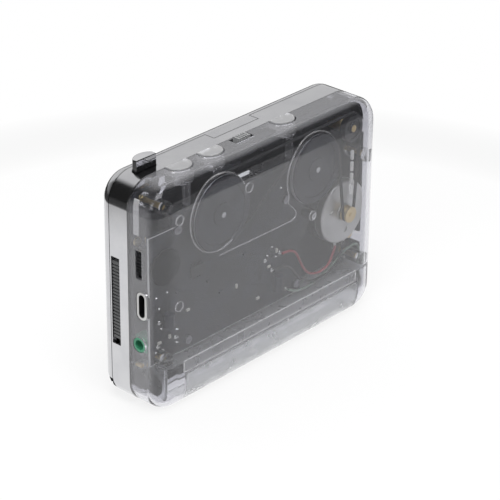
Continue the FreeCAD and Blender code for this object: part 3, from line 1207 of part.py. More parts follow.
def make_battery_tray():
    """Clear box over the two batteries, open below and at the back, with an end wall at each side."""
    front = TRAY_FRONT_Y
    rear = REAR_DEPTH - WALL - 0.2
    top = TRAY_ROOF_Z + TRAY_WALL
    tray = box(TRAY_LOW_X, TRAY_HIGH_X, front, rear, WALL, top)
    room = box(TRAY_LOW_X + TRAY_WALL, TRAY_HIGH_X - TRAY_WALL, front + TRAY_WALL, rear + 1, 0, TRAY_ROOF_Z)
    tray = tray.cut(room).common(case_slab(WALL + LEDGE_WIDTH + SLIDE_GAP, front, rear))
    tray = tray.common(rear_or_front_room())
    slot = box(TRAY_LOW_X - 1, TRAY_LOW_X + TRAY_WALL + 1, BATTERY_Y + 1.9, BATTERY_Y + 4.1, 10.9, 12.1)
    return tray.cut(slot)


def rear_or_front_room():
    """Room inside the closed case, drawn in a little from its walls."""
    return front_solid(WALL + 0.2).fuse(rear_solid(WALL + 0.2))


def make_battery_terminals():
    """Flat contact with a button at one end, and the contact that the spring stands on at the other."""
    x = TRAY_HIGH_X - TRAY_WALL
    plate = rod_x(BATTERY_Y, BATTERY_Z, TERMINAL_RADIUS, x - TERMINAL_THICKNESS, x)
    button = rod_x(BATTERY_Y, BATTERY_Z, 2.0, x - TERMINAL_THICKNESS - BUTTON_HEIGHT, x - TERMINAL_THICKNESS)
    x = TRAY_LOW_X + TRAY_WALL
    disc = rod_x(BATTERY_Y, BATTERY_Z, TERMINAL_RADIUS, x, x + TERMINAL_THICKNESS)
    tab = box(TRAY_LOW_X - 0.6, x + TERMINAL_THICKNESS, BATTERY_Y + 2.0, BATTERY_Y + 4.0, 11.2, 11.8)
    return Part.makeCompound([plate.fuse(button).removeSplitter(), disc.fuse(tab).removeSplitter()])


def make_battery_spring():
    """Coiled contact at the -X end of the battery tray."""
    x = TRAY_LOW_X + TRAY_WALL + TERMINAL_THICKNESS + SPRING_END_GAP
    solid = spring_between("battery_spring", 0, 0, 0, BATTERY_SPRING_LENGTH,
                           BATTERY_SPRING, BATTERY_SPRING_TURNS)
    solid.rotate(V(0, 0, 0), Y_AXIS, 90)
    solid.translate(V(x, BATTERY_Y, BATTERY_Z))
    return solid


def make_motor_leads():
    """Red and black leads from the board to the motor's tabs."""
    y = BOARD_REAR_Y + LEAD_RADIUS
    tab_y = MOTOR_REAR_Y - 1.8 + LEAD_RADIUS + 0.05
    tab_z = MOTOR_Z - MOTOR_RADIUS - 1.2
    red = lead([
        V(-8.6, y + 0.7, 37.4), V(-12.4, y + 0.9, 37.2), V(-15.6, y + 0.8, 35.4),
        V(-18.0, y + 0.6, 31.2), V(-20.4, y + 0.5, 26.8), V(-24.0, y + 0.4, 23.2),
        V(-29.0, y + 0.2, 21.8), V(-35.0, y - 0.3, 22.2), V(MOTOR_TABS[1], tab_y, tab_z),
    ], LEAD_RADIUS)
    black = lead([
        V(-4.6, y + 0.7, 32.0), V(-8.8, y + 0.8, 32.6), V(-13.2, y + 0.7, 30.2),
        V(-16.2, y + 0.6, 26.0), V(-20.0, y + 0.5, 22.2), V(-25.2, y + 0.4, 19.9),
        V(-32.0, y + 0.2, 19.4), V(-40.0, y - 0.4, 20.4), V(MOTOR_TABS[0], tab_y, tab_z),
    ], LEAD_RADIUS)
    return red, black


def make_battery_lead():
    """Green lead from the board to the battery spring's contact."""
    y = BOARD_REAR_Y + LEAD_RADIUS
    contact_x = TRAY_LOW_X - LEAD_RADIUS - 0.1
    return lead([
        V(-12.0, y + 0.7, 21.8), V(-16.6, y + 0.7, 19.4), V(-23.2, y + 0.3, 18.5),
        V(-31.0, y - 1.2, 18.4), V(contact_x + 15.2, y - 1.8, 20.4), V(contact_x + 7.8, y - 1.8, 24.2),
        V(contact_x + 1.6, y - 1.6, 24.6), V(contact_x, y - 1.4, 20.0), V(contact_x, BATTERY_Y + 3.0, 12.3),
    ], LEAD_RADIUS)


def build_nodes():
    """Every node of the player by name."""
    red, black = make_motor_leads()
    nodes = {
        "front_frame": make_front_frame(),
        "rear_shell": make_rear_shell(),
        "cassette_door": make_door(),
        "door_window": make_door_window(),
        "cassette_clips": make_cassette_clips(),
        "door_hinge_pins": make_hinge_pins(),
        "battery_lid": make_battery_lid(),
        "chassis": make_chassis(),
        "chassis_screws": make_chassis_screws(),
        "frame_screws": make_frame_screws(),
        "socket_side_flywheel": make_flywheel(SOCKET_SIDE, SOCKET_FLYWHEEL_RADIUS),
        "motor_side_flywheel": make_flywheel(MOTOR_SIDE, MOTOR_FLYWHEEL_RADIUS),
        "socket_side_capstan": make_capstan(SOCKET_SIDE),
        "motor_side_capstan": make_capstan(MOTOR_SIDE),
        "capstan_bushes": make_capstan_bushes(),
        "motor": make_motor(),
        "motor_ring": make_motor_ring(),
        "motor_pulley": make_motor_pulley(),
        "idler_pulley": make_idler_pulley(),
        "idler_post": make_idler_post(),
        "drive_belt": make_belt(),
        "supply_spindle": make_reel_spindle(-1),
        "takeup_spindle": make_reel_spindle(1),
        "takeup_idler_wheel": make_idler_wheel(1),
        "supply_idler_wheel": make_idler_wheel(-1),
        "pivot_pins": make_pivot_pins(),
        "reel_plate": make_reel_plate(),
        "play_key": make_play_key(),
        "head_bridge": make_head_bridge(),
        "tape_head": make_tape_head(),
        "socket_side_pinch_arm": make_pinch_arm(1),
        "motor_side_pinch_arm": make_pinch_arm(-1),
        "socket_side_pinch_roller": make_pinch_roller(1),
        "motor_side_pinch_roller": make_pinch_roller(-1),
        "latch_slider": make_latch_slider(),
        "latch_spring": make_latch_spring(),
        "circuit_board": make_circuit_board(),
        "board_screws": make_board_screws(),
        "amplifier_chip": make_amplifier_chip(),
        "capacitors": make_capacitors(),
        "solder_joints": make_solder_joints(),
        "usb_socket": make_usb_socket(),
        "headphone_jack": make_headphone_jack(),
        "volume_pot": make_volume_pot(),
        "volume_wheel": make_volume_wheel(),
        "slide_switch": make_slide_switch(),
        "switch_knob": make_switch_knob(),
        "battery_tray": make_battery_tray(),
        "battery_terminals": make_battery_terminals(),
        "battery_spring": make_battery_spring(),
        "motor_lead_red": red,
        "motor_lead_black": black,
        "battery_lead": make_battery_lead(),
        "bridge_spring": make_bridge_spring(),
    }
    for name, centre in zip(("forward_key", "rewind_key", "stop_key"), KEY_CENTRES):
        nodes[name] = make_key(centre)
        nodes[name + "_spring"] = make_key_spring(name + "_spring", centre)
    return nodes


def main():
    """Write one STEP file per node."""
    os.makedirs("parts", exist_ok=True)
    for name, shape in build_nodes().items():
        solids = len(shape.Solids)
        print(name, "solids", solids, "valid", shape.isValid(), "volume", round(shape.Volume, 1))
        shape.exportStep("parts/" + name + ".step")


main()
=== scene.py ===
import json
import logging
import math
from dataclasses import dataclass, field
from enum import Enum
from typing import Any, Callable, Iterable, Optional, Sequence

import bpy
from mathutils import Matrix, Vector

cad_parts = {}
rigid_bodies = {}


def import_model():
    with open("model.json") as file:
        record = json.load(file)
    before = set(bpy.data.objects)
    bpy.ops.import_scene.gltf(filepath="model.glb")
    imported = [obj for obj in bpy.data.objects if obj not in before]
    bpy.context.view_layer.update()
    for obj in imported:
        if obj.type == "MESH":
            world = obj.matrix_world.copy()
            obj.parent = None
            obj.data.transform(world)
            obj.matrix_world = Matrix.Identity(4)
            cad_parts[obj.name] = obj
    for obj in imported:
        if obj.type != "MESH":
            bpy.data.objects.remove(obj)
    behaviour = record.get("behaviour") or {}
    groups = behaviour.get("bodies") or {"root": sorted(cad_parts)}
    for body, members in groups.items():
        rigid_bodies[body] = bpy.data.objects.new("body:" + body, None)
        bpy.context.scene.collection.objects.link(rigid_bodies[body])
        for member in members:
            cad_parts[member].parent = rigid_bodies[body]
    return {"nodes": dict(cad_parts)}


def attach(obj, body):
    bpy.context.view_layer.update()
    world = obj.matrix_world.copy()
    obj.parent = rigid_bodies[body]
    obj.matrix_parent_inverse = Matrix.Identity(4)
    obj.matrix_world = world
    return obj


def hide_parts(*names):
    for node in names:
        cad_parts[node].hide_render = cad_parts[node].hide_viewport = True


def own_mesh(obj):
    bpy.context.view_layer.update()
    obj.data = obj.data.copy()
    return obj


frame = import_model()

MM = 0.001
LOG = logging.getLogger("cassette_player")
Point = tuple[float, float, float]
Place = tuple[float, float]


# Small tools for meshes


def linear(code: str, alpha: float = 1.0) -> tuple[float, float, float, float]:
    """Turns an sRGB hex colour into linear values.

    Args:
        code: Six hex digits after a hash sign.
        alpha: Fourth value of the result.

    Returns:
        Red, green, blue and alpha, linear.
    """
    parts = [int(code[i:i + 2], 16) / 255 for i in (1, 3, 5)]
    red, green, blue = [c / 12.92 if c <= 0.04045 else ((c + 0.055) / 1.055) ** 2.4 for c in parts]
    return red, green, blue, alpha


def select_only(piece: bpy.types.Object) -> None:
    """Selects one object and nothing else.

    Args:
        piece: The object that becomes active.
    """
    for other in bpy.data.objects:
        other.select_set(False)
    piece.select_set(True)
    bpy.context.view_layer.objects.active = piece


def pick(piece: bpy.types.Object, kind: str, test: Callable[[Any], bool]) -> None:
    """Enters edit mode with only the elements that pass a test selected.

    Args:
        piece: A mesh object.
        kind: VERT, EDGE or FACE.
        test: Says whether an element is taken. It gets a vertex's place, an edge's two ends, or a face.
    """
    select_only(piece)
    bpy.ops.object.mode_set(mode="EDIT")
    bpy.ops.mesh.select_mode(type=kind)
    bpy.ops.mesh.select_all(action="DESELECT")
    bpy.ops.object.mode_set(mode="OBJECT")
    mesh = piece.data
    if kind == "VERT":
        for vertex in mesh.vertices:
            vertex.select = test(vertex.co)
    elif kind == "EDGE":
        for edge in mesh.edges:
            edge.select = test([mesh.vertices[i].co for i in edge.vertices])
    else:
        for face in mesh.polygons:
            face.select = test(face)
    bpy.ops.object.mode_set(mode="EDIT")


def leave_edit() -> None:
    """Goes back to object mode."""
    bpy.ops.object.mode_set(mode="OBJECT")


def settle(piece: bpy.types.Object) -> None:
    """Puts an object's place, turn and scale into its mesh.

    Args:
        piece: The object, which ends up at the origin.
    """
    select_only(piece)
    bpy.ops.object.transform_apply(location=True, rotation=True, scale=True)


def modify(piece: bpy.types.Object, kind: str, **settings: Any) -> None:
    """Adds a modifier and applies it.

    Args:
        piece: The object.
        kind: Blender's name of the modifier.
        **settings: Its values.
    """
    select_only(piece)
    modifier = piece.modifiers.new(kind.title(), kind)
    for key, value in settings.items():
        setattr(modifier, key, value)
    bpy.ops.object.modifier_apply(modifier=modifier.name)


def smooth(piece: bpy.types.Object, degrees: float = 32.0) -> None:
    """Shades faces that meet at less than an angle as one surface, and keeps large flats flat.

    Args:
        piece: The object.
        degrees: The angle.
    """
    select_only(piece)
    bpy.ops.object.shade_smooth_by_angle(angle=math.radians(degrees))
    modify(piece, "WEIGHTED_NORMAL", weight=50, keep_sharp=True)


def discard(piece: bpy.types.Object) -> None:
    """Deletes a helper object with its mesh.

    Args:
        piece: The helper.
    """
    mesh = piece.data
    bpy.data.objects.remove(piece)
    bpy.data.meshes.remove(mesh)


def block(name: str, low: Point, high: Point) -> bpy.types.Object:
    """Adds a box between two corners, to be shaped further.

    Args:
        name: Name of the object.
        low: Lowest corner in millimetres.
        high: Highest corner in millimetres.

    Returns:
        The new object, at the origin.
    """
    centre = [(a + b) / 2 * MM for a, b in zip(low, high)]
    bpy.ops.mesh.primitive_cube_add(size=1, location=centre)
    piece = bpy.context.object
    piece.name = name
    piece.scale = [(b - a) * MM for a, b in zip(low, high)]
    settle(piece)
    return piece


def rod(name: str, axis: str, centre: Place, radius: float, start: float, end: float,
        sides: int = 48) -> bpy.types.Object:
    """Adds a round bar, to be shaped further.

    Args:
        name: Name of the object.
        axis: X, Y or Z.
        centre: The two other coordinates of its axis, in millimetres.
        radius: Its radius in millimetres.
        start: Where it starts along the axis.
        end: Where it ends.
        sides: Number of sides.

    Returns:
        The new object, at the origin.
    """
    middle = (start + end) / 2
    places = {"X": (middle, *centre), "Y": (centre[0], middle, centre[1]), "Z": (*centre, middle)}
    turns = {"X": (0, math.pi / 2, 0), "Y": (math.pi / 2, 0, 0), "Z": (0, 0, 0)}
    bpy.ops.mesh.primitive_cylinder_add(vertices=sides, radius=radius * MM, depth=(end - start) * MM,
                                        location=[v * MM for v in places[axis]], rotation=turns[axis])
    piece = bpy.context.object
    piece.name = name
    settle(piece)
    return piece


def prism(name: str, outline: Sequence[Point], push: Point) -> bpy.types.Object:
    """Fills a flat outline and extrudes it.

    Args:
        name: Name of the object.
        outline: Corners in order, in millimetres.
        push: The way and length of the extrusion.

    Returns:
        The new closed object.
    """
    mesh = bpy.data.meshes.new(name)
    mesh.from_pydata([Vector(p) * MM for p in outline], [], [list(range(len(outline)))])
    piece = bpy.data.objects.new(name, mesh)
    bpy.context.scene.collection.objects.link(piece)
    pick(piece, "FACE", lambda face: True)
    bpy.ops.mesh.extrude_region_move(TRANSFORM_OT_translate={"value": [v * MM for v in push]})
    bpy.ops.mesh.select_all(action="SELECT")
    bpy.ops.mesh.normals_make_consistent(inside=False)
    leave_edit()
    return piece


def curve_through(points: Sequence[Place], steps: int = 6) -> list[Place]:
    """Rounds a polyline by drawing a smooth curve through its points.

    Args:
        points: The points, X and Z in millimetres.
        steps: Number of steps between two points.

    Returns:
        The points of the curve.
    """
    drawn: list[Place] = []
    held = [points[0], *points, points[-1]]
    for a, b, c, d in zip(held, held[1:], held[2:], held[3:]):
        for step in range(steps):
            t = step / steps
            drawn.append(tuple(0.5 * (2 * b[i] + (c[i] - a[i]) * t + (2 * a[i] - 5 * b[i] + 4 * c[i] - d[i]) * t ** 2
                                      + (3 * b[i] - a[i] - 3 * c[i] + d[i]) * t ** 3) for i in (0, 1)))
    return [*drawn, points[-1]]


def arc(centre: Place, radius: float, start: float, end: float, steps: int = 48) -> list[Place]:
    """Gives points on an arc.

    Args:
        centre: X and Z of its centre in millimetres.
        radius: Its radius.
        start: First angle in degrees, from +X toward +Z.
        end: Last angle.
        steps: Number of steps.

    Returns:
        The points.
    """
    angles = [math.radians(start + (end - start) * step / steps) for step in range(steps + 1)]
    return [(centre[0] + radius * math.cos(a), centre[1] + radius * math.sin(a)) for a in angles]


def rib(name: str, path: Sequence[Place], width: float, start: float, end: float,
        closed: bool = False) -> bpy.types.Object:
    """Draws a strip along a path in X and Z, and extrudes it along Y.

    Args:
        name: Name of the object.
        path: Middle line of the rib.
        width: Its width in millimetres.
        start: Y where it starts.
        end: Y where it ends.
        closed: Whether the last point joins the first.

    Returns:
        The closed rib.
    """
    count = len(path)
    corners: list[Vector] = []
    for index, here in enumerate(path):
        before = path[(index - 1) % count] if closed or index else here
        after = path[(index + 1) % count] if closed or index + 1 < count else here
        way = Vector((after[0] - before[0], after[1] - before[1])).normalized() * width / 2
        corners.append(Vector((here[0] - way.y, start, here[1] + way.x)) * MM)
        corners.append(Vector((here[0] + way.y, start, here[1] - way.x)) * MM)
    last = count if closed else count - 1
    faces = [(2 * i, 2 * i + 1, (2 * i + 3) % (2 * count), (2 * i + 2) % (2 * count)) for i in range(last)]
    mesh = bpy.data.meshes.new(name)
    mesh.from_pydata(corners, [], faces)
    piece = bpy.data.objects.new(name, mesh)
    bpy.context.scene.collection.objects.link(piece)
    pick(piece, "FACE", lambda face: True)
    bpy.ops.mesh.extrude_region_move(TRANSFORM_OT_translate={"value": (0, (end - start) * MM, 0)})
    bpy.ops.mesh.select_all(action="SELECT")
    bpy.ops.mesh.normals_make_consistent(inside=False)
    leave_edit()
    return piece


def combine(piece: bpy.types.Object, tools: Iterable[bpy.types.Object], mode: str) -> None:
    """Cuts, joins or keeps the shared room of a piece and helper objects, which are then deleted.

    Args:
        piece: The piece that changes.
        tools: The helpers.
        mode: DIFFERENCE, UNION or INTERSECT.
    """
    for tool in list(tools):
        modify(piece, "BOOLEAN", operation=mode, object=tool, solver="EXACT")
        discard(tool)


def twin(piece: bpy.types.Object, name: str) -> bpy.types.Object:
    """Copies a piece with its own mesh.

    Args:
        piece: The first piece.
        name: Name of the copy.

    Returns:
        The copy.
    """
    copy = piece.copy()
    copy.data = piece.data.copy()
    copy.name = name
    bpy.context.scene.collection.objects.link(copy)
    return copy


def gather(name: str, parts: Sequence[bpy.types.Object]) -> bpy.types.Object:
    """Joins separate shells into one object.

    Args:
        name: Name of the result.
        parts: The objects.

    Returns:
        The joined object.
    """
    select_only(parts[0])
    for part in parts[1:]:
        part.select_set(True)
    bpy.ops.object.join()
    whole = bpy.context.object
    whole.name = name
    return whole


def tidy_copy(node: str, name: str, bevel: float = 0.0, degrees: float = 32.0) -> bpy.types.Object:
    """Copies a CAD node's mesh, merges its triangles and softens its edges.

    Args:
        node: The CAD node.
        name: Name of the copy.
        bevel: Width of the softened edges in millimetres, or 0 for none.
        degrees: Largest angle that is shaded as one surface.

    Returns:
        The copy, which isn't on a body yet.
    """
    source = frame["nodes"][node]
    copy = bpy.data.objects.new(name, source.data.copy())
    bpy.context.scene.collection.objects.link(copy)
    copy.data.materials.clear()
    pick(copy, "VERT", lambda place: True)
    bpy.ops.mesh.remove_doubles(threshold=2e-6)
    bpy.ops.mesh.customdata_custom_splitnormals_clear()
    if bevel:
        bpy.ops.mesh.dissolve_limited(angle_limit=math.radians(0.3))
    leave_edit()
    if bevel:
        modify(copy, "BEVEL", width=bevel * MM, segments=2, limit_method="ANGLE",
               angle_limit=math.radians(38), use_clamp_overlap=True, harden_normals=False)
    smooth(copy, degrees)
    return copy


# Small tools for materials


def add_node(tree: bpy.types.NodeTree, kind: str, links: Optional[dict[Any, Any]] = None,
             **settings: Any) -> bpy.types.Node:
    """Adds a shader node with its settings, values and links.

    Args:
        tree: The node tree.
        kind: Name of the node type after "ShaderNode".
        links: For each input, by name or number, a value or the socket that feeds it.
        **settings: The node's own settings.

    Returns:
        The node.
    """
    node = tree.nodes.new("ShaderNode" + kind)
    for key, value in settings.items():
        setattr(node, key, value)
    for key, value in (links or {}).items():
        if isinstance(value, bpy.types.NodeSocket):
            tree.links.new(value, node.inputs[key])
        else:
            node.inputs[key].default_value = value
    return node


def new_material(name: str) -> tuple[bpy.types.Material, bpy.types.NodeTree, bpy.types.NodeSocket]:
    """Adds an empty node material.

    Args:
        name: Name of the material.

    Returns:
        The material, its tree, and its Object coordinates in metres.
    """
    material = bpy.data.materials.new(name)
    material.use_nodes = True
    tree = material.node_tree
    tree.nodes.clear()
    return material, tree, add_node(tree, "TexCoord").outputs["Object"]


def close_tree(tree: bpy.types.NodeTree, shader: bpy.types.NodeSocket) -> None:
    """Links a shader to a new material output.

    Args:
        tree: The material's tree.
        shader: The shader's socket.
    """
    add_node(tree, "OutputMaterial", {"Surface": shader})


def noise(tree: bpy.types.NodeTree, place: bpy.types.NodeSocket, grain: float,
          detail: float = 3.0) -> bpy.types.NodeSocket:
    """Adds a noise of a real grain size.

    Args:
        tree: The material's tree.
        place: The coordinates.
        grain: Size of one grain in millimetres.
        detail: Number of finer layers.

    Returns:
        The noise's value.
    """
    texture = add_node(tree, "TexNoise", {"Vector": place, "Scale": 1 / (grain * MM), "Detail": detail})
    return texture.outputs["Fac"]


def spread(tree: bpy.types.NodeTree, value: bpy.types.NodeSocket, low: float, high: float,
           start: float = 0.35, end: float = 0.65) -> bpy.types.NodeSocket:
    """Maps a pattern's middle range to two limits.

    Args:
        tree: The material's tree.
        value: The pattern.
        low: Result at the start of the range.
        high: Result at its end.
        start: Where the range starts.
        end: Where it ends.

    Returns:
        The mapped value.
    """
    mapped = add_node(tree, "MapRange", {"Value": value, "From Min": start, "From Max": end,
                                         "To Min": low, "To Max": high})
    return mapped.outputs["Result"]


def blend_colours(tree: bpy.types.NodeTree, factor: bpy.types.NodeSocket, first: str,
                  second: str) -> bpy.types.NodeSocket:
    """Mixes two colours by a pattern.

    Args:
        tree: The material's tree.
        factor: The pattern, from 0 to 1.
        first: Hex colour at 0.
        second: Hex colour at 1.

    Returns:
        The mixed colour.
    """
    ramp = add_node(tree, "ValToRGB", {"Fac": factor})
    ramp.color_ramp.elements[0].color = linear(first)
    ramp.color_ramp.elements[1].color = linear(second)
    return ramp.outputs["Color"]


def raised(tree: bpy.types.NodeTree, height: bpy.types.NodeSocket, depth: float,
           under: Optional[bpy.types.NodeSocket] = None) -> bpy.types.NodeSocket:
    """Turns a height pattern into a bumped normal.

    Args:
        tree: The material's tree.
        height: The pattern, from 0 to 1.
        depth: Its height in millimetres.
        under: Another bumped normal to add it to.

    Returns:
        The normal.
    """
    links: dict[Any, Any] = {"Height": height, "Distance": depth * MM, "Strength": 1.0}
    if under is not None:
        links["Normal"] = under
    return add_node(tree, "Bump", links).outputs["Normal"]


class Lay(Enum):
    """The way that a metal surface was worked."""

    PLAIN = "plain"
    TURNED = "turned"
    BRUSHED = "brushed"


@dataclass(frozen=True)
class Finish:
    """A named surface finish."""

    name: str

    def build(self) -> bpy.types.Material:
        """Makes the material."""
        raise NotImplementedError


@dataclass(frozen=True)
class MouldedPlastic(Finish):
    """Moulded thermoplastic: an even colour with the tool's fine grain and slight shade drift."""

    light: str = "#2a2b2e"
    dark: str = "#202124"
    roughness: float = 0.42
    grain: float = 0.35
    depth: float = 0.004
    ior: float = 1.53

    def build(self) -> bpy.types.Material:
        """Makes the material."""
        material, tree, place = new_material(self.name)
        drift = spread(tree, noise(tree, place, 14.0), 0, 1)
        grain = noise(tree, place, self.grain, 2.0)
        shader = add_node(tree, "BsdfPrincipled", {
            "Base Color": blend_colours(tree, drift, self.dark, self.light),
            "Roughness": spread(tree, noise(tree, place, 5.0), self.roughness - 0.06, self.roughness + 0.06),
            "IOR": self.ior,
            "Normal": raised(tree, grain, self.depth),
        })
        close_tree(tree, shader.outputs[0])
        return material


@dataclass(frozen=True)
class WorkedMetal(Finish):
    """Bare or plated metal with the marks of how it was worked."""

    light: str = "#c8c8c6"
    dark: str = "#b4b4b2"
    roughness: float = 0.3
    swing: float = 0.08
    lay: Lay = Lay.PLAIN
    centre: Place = (0.0, 0.0)
    pitch: float = 0.35
    depth: float = 0.004

    def build(self) -> bpy.types.Material:
        """Makes the material."""
        material, tree, place = new_material(self.name)
        if self.lay is Lay.TURNED:
            # Rings round the axis that the lathe turned the piece on.
            moved = add_node(tree, "Mapping", {
                "Vector": place, "Location": (-self.centre[0] * MM, 0.0, -self.centre[1] * MM)})
            flat = add_node(tree, "VectorMath", {0: moved.outputs[0], 1: (1.0, 0.0, 1.0)}, operation="MULTIPLY")
            reach = add_node(tree, "VectorMath", {0: flat.outputs[0]}, operation="LENGTH")
            rings = add_node(tree, "TexNoise", {"W": reach.outputs["Value"], "Scale": 1 / (self.pitch * MM),
                                                "Detail": 2.0}, noise_dimensions="1D")
            marks = rings.outputs["Fac"]
        elif self.lay is Lay.BRUSHED:
            # Long fine lines, as a belt leaves them.
            drawn = add_node(tree, "Mapping", {"Vector": place, "Scale": (0.04, 1.0, 1.0)})
            marks = noise(tree, drawn.outputs[0], self.pitch, 2.0)
        else:
            marks = noise(tree, place, self.pitch, 3.0)
        drift = spread(tree, noise(tree, place, 9.0), 0, 1)
        shader = add_node(tree, "BsdfPrincipled", {
            "Base Color": blend_colours(tree, drift, self.dark, self.light),
            "Metallic": 1.0,
            "Roughness": spread(tree, marks, self.roughness - self.swing, self.roughness + self.swing),
            "Normal": raised(tree, marks, self.depth),
        })
        close_tree(tree, shader.outputs[0])
        return material


@dataclass(frozen=True)
class ClearPlastic(Finish):
    """Moulded clear plastic: bright edges, a mirror of the room on its flats, and faint flow marks."""

    tint: str = "#f4f5f3"
    roughness: float = 0.03
    ior: float = 1.585
    wave: float = 18.0
    depth: float = 0.004
    milk: float = 0.03
    frost: float = 0.0
    frost_top: float = 82.8
    frost_end: float = 56.3

    def frosted(self, tree: bpy.types.NodeTree, place: bpy.types.NodeSocket) -> bpy.types.NodeSocket:
        """Gives how much light passes: less at the satin top and end faces.

        Args:
            tree: The material's tree.
            place: Object coordinates.

        Returns:
            The transmission, from 0 to 1.
        """
        parts = add_node(tree, "SeparateXYZ", {0: place})
        side = add_node(tree, "Math", {0: parts.outputs["X"]}, operation="ABSOLUTE")
        top = spread(tree, parts.outputs["Z"], 0, 1, (self.frost_top - 0.7) * MM, (self.frost_top + 0.7) * MM)
        end = spread(tree, side.outputs[0], 0, 1, (self.frost_end - 0.6) * MM, (self.frost_end + 0.6) * MM)
        where = add_node(tree, "Math", {0: top, 1: end}, operation="MAXIMUM")
        return spread(tree, where.outputs[0], 1 - self.milk, 1 - self.milk - self.frost, 0, 1)

    def build(self) -> bpy.types.Material:
        """Makes the material. Light that reaches what lies inside passes straight through."""
        material, tree, place = new_material(self.name)
        flow = raised(tree, noise(tree, place, self.wave, 1.0), self.depth)
        shader = add_node(tree, "BsdfPrincipled", {
            "Base Color": linear(self.tint),
            "Roughness": spread(tree, noise(tree, place, 6.0), self.roughness * 0.6, self.roughness * 1.4),
            "IOR": self.ior,
            "Transmission Weight": self.frosted(tree, place) if self.frost else 1.0 - self.milk,
            "Normal": flow,
        })
        ray = add_node(tree, "LightPath")
        inner = add_node(tree, "Math", {0: ray.outputs["Is Shadow Ray"], 1: ray.outputs["Is Diffuse Ray"]},
                         operation="MAXIMUM")
        through = add_node(tree, "BsdfTransparent", {"Color": linear("#f0f0f0")})
        mixed = add_node(tree, "MixShader", {0: inner.outputs[0], 1: shader.outputs[0], 2: through.outputs[0]})
        close_tree(tree, mixed.outputs[0])
        return material


@dataclass(frozen=True)
class SmoothRubber(Finish):
    """Moulded or ground rubber: nearly black, soft sheen, with a dusty bloom."""

    light: str = "#2b2b2c"
    dark: str = "#1c1c1d"
    roughness: float = 0.6

    def build(self) -> bpy.types.Material:
        """Makes the material."""
        material, tree, place = new_material(self.name)
        bloom = spread(tree, noise(tree, place, 2.5), 0, 1)
        shader = add_node(tree, "BsdfPrincipled", {
            "Base Color": blend_colours(tree, bloom, self.dark, self.light),
            "Roughness": spread(tree, bloom, self.roughness - 0.08, self.roughness + 0.1, 0, 1),
            "IOR": 1.52,
            "Normal": raised(tree, noise(tree, place, 0.25), 0.006),
        })
        close_tree(tree, shader.outputs[0])
        return material


@dataclass(frozen=True)
class SolderMask(Finish):
    """Printed board under dark solder mask: faint tracks stand up in the lacquer."""

    track: str = "#262833"
    field_colour: str = "#14151c"
    pitch: float = 2.2

    def build(self) -> bpy.types.Material:
        """Makes the material."""
        material, tree, place = new_material(self.name)
        cells = add_node(tree, "TexVoronoi", {"Vector": place, "Scale": 1 / (self.pitch * MM), "Randomness": 0.35},
                         feature="DISTANCE_TO_EDGE", distance="EUCLIDEAN")
        tracks = spread(tree, cells.outputs["Distance"], 1.0, 0.0, 0.06, 0.12)
        some = spread(tree, noise(tree, place, 9.0, 1.0), 0.0, 1.0, 0.48, 0.52)
        shown = add_node(tree, "Math", {0: tracks, 1: some}, operation="MULTIPLY")
        shader = add_node(tree, "BsdfPrincipled", {
            "Base Color": blend_colours(tree, shown.outputs[0], self.field_colour, self.track),
            "Roughness": spread(tree, noise(tree, place, 4.0), 0.32, 0.46),
            "IOR": 1.36,
            "Normal": raised(tree, shown.outputs[0], 0.03),
        })
        close_tree(tree, shader.outputs[0])
        return material


# Finishes of this player

SILVER = WorkedMetal("vacuum_plated_abs_satin", "#d2d2d4", "#cbcbce", 0.16, 0.03, Lay.PLAIN, pitch=0.6, depth=0.0006)
KEY_PLATING = WorkedMetal("bright_plated_abs", "#e4e4e6", "#d8d8db", 0.07, 0.02, Lay.PLAIN, pitch=0.8, depth=0.0006)
CLEAR_SHELL = ClearPlastic("moulded_clear_polycarbonate", "#dedee3", milk=0.014, frost=0.17)
CLEAR_PILLAR = ClearPlastic("moulded_clear_polycarbonate_pillar", "#e2e3e2", 0.1, 1.2)
CLEAR_RIB = ClearPlastic("moulded_clear_polycarbonate_rib", "#f2f2f3", 0.12, 1.45, milk=0.16)
CLEAR_FLANGE = ClearPlastic("moulded_clear_styrene_flange", "#e6e7e9", 0.3, 1.35, milk=0.14)
# Painted highlight: half-milky white clear plastic, used only for strokes that stand in for bright reflections and edge
# lines.
PAINTED_HIGHLIGHT_RIB = ClearPlastic("milky_clear_painted_highlight", "#f6f6f6", 0.1, 1.5, milk=0.5)
CLEAR_LID = ClearPlastic("moulded_clear_polycarbonate_lid", "#d5d6d9", 0.2, 1.5, depth=0.006, milk=0.1)
CLEAR_KEY = ClearPlastic("moulded_clear_polystyrene_key", "#f2f2f4", 0.05, 1.46, wave=5.0, milk=0.07, frost=0.34,
                         frost_top=83.7)
CLEAR_TRAY = ClearPlastic("moulded_clear_styrene_tray", "#dfe0e3", 0.3, 1.3, wave=9.0, depth=0.01, milk=0.08)
CLEAR_PANE = ClearPlastic("cast_clear_acrylic", "#eef1f2", 0.02, 1.49, milk=0.02)
CHASSIS_ABS = MouldedPlastic("spark_eroded_black_abs", "#191a22", "#111219", 0.66, ior=1.32)
CLIP_ABS = MouldedPlastic("moulded_black_abs_clip", "#232326", "#1a1a1c", 0.4)
EDGE_EPOXY = MouldedPlastic("routed_glass_epoxy_edge", "#c6c7c7", "#b6b7b7", 0.5)
IDLER_ACETAL = MouldedPlastic("moulded_black_acetal", "#26262a", "#1a1a1d", 0.36)
SPINDLE_ACETAL = MouldedPlastic("moulded_black_acetal_spindle", "#242427", "#19191b", 0.4)
CERAMIC = MouldedPlastic("fired_ceramic_chip_body", "#c9c8c2", "#b4b3ad", 0.45)
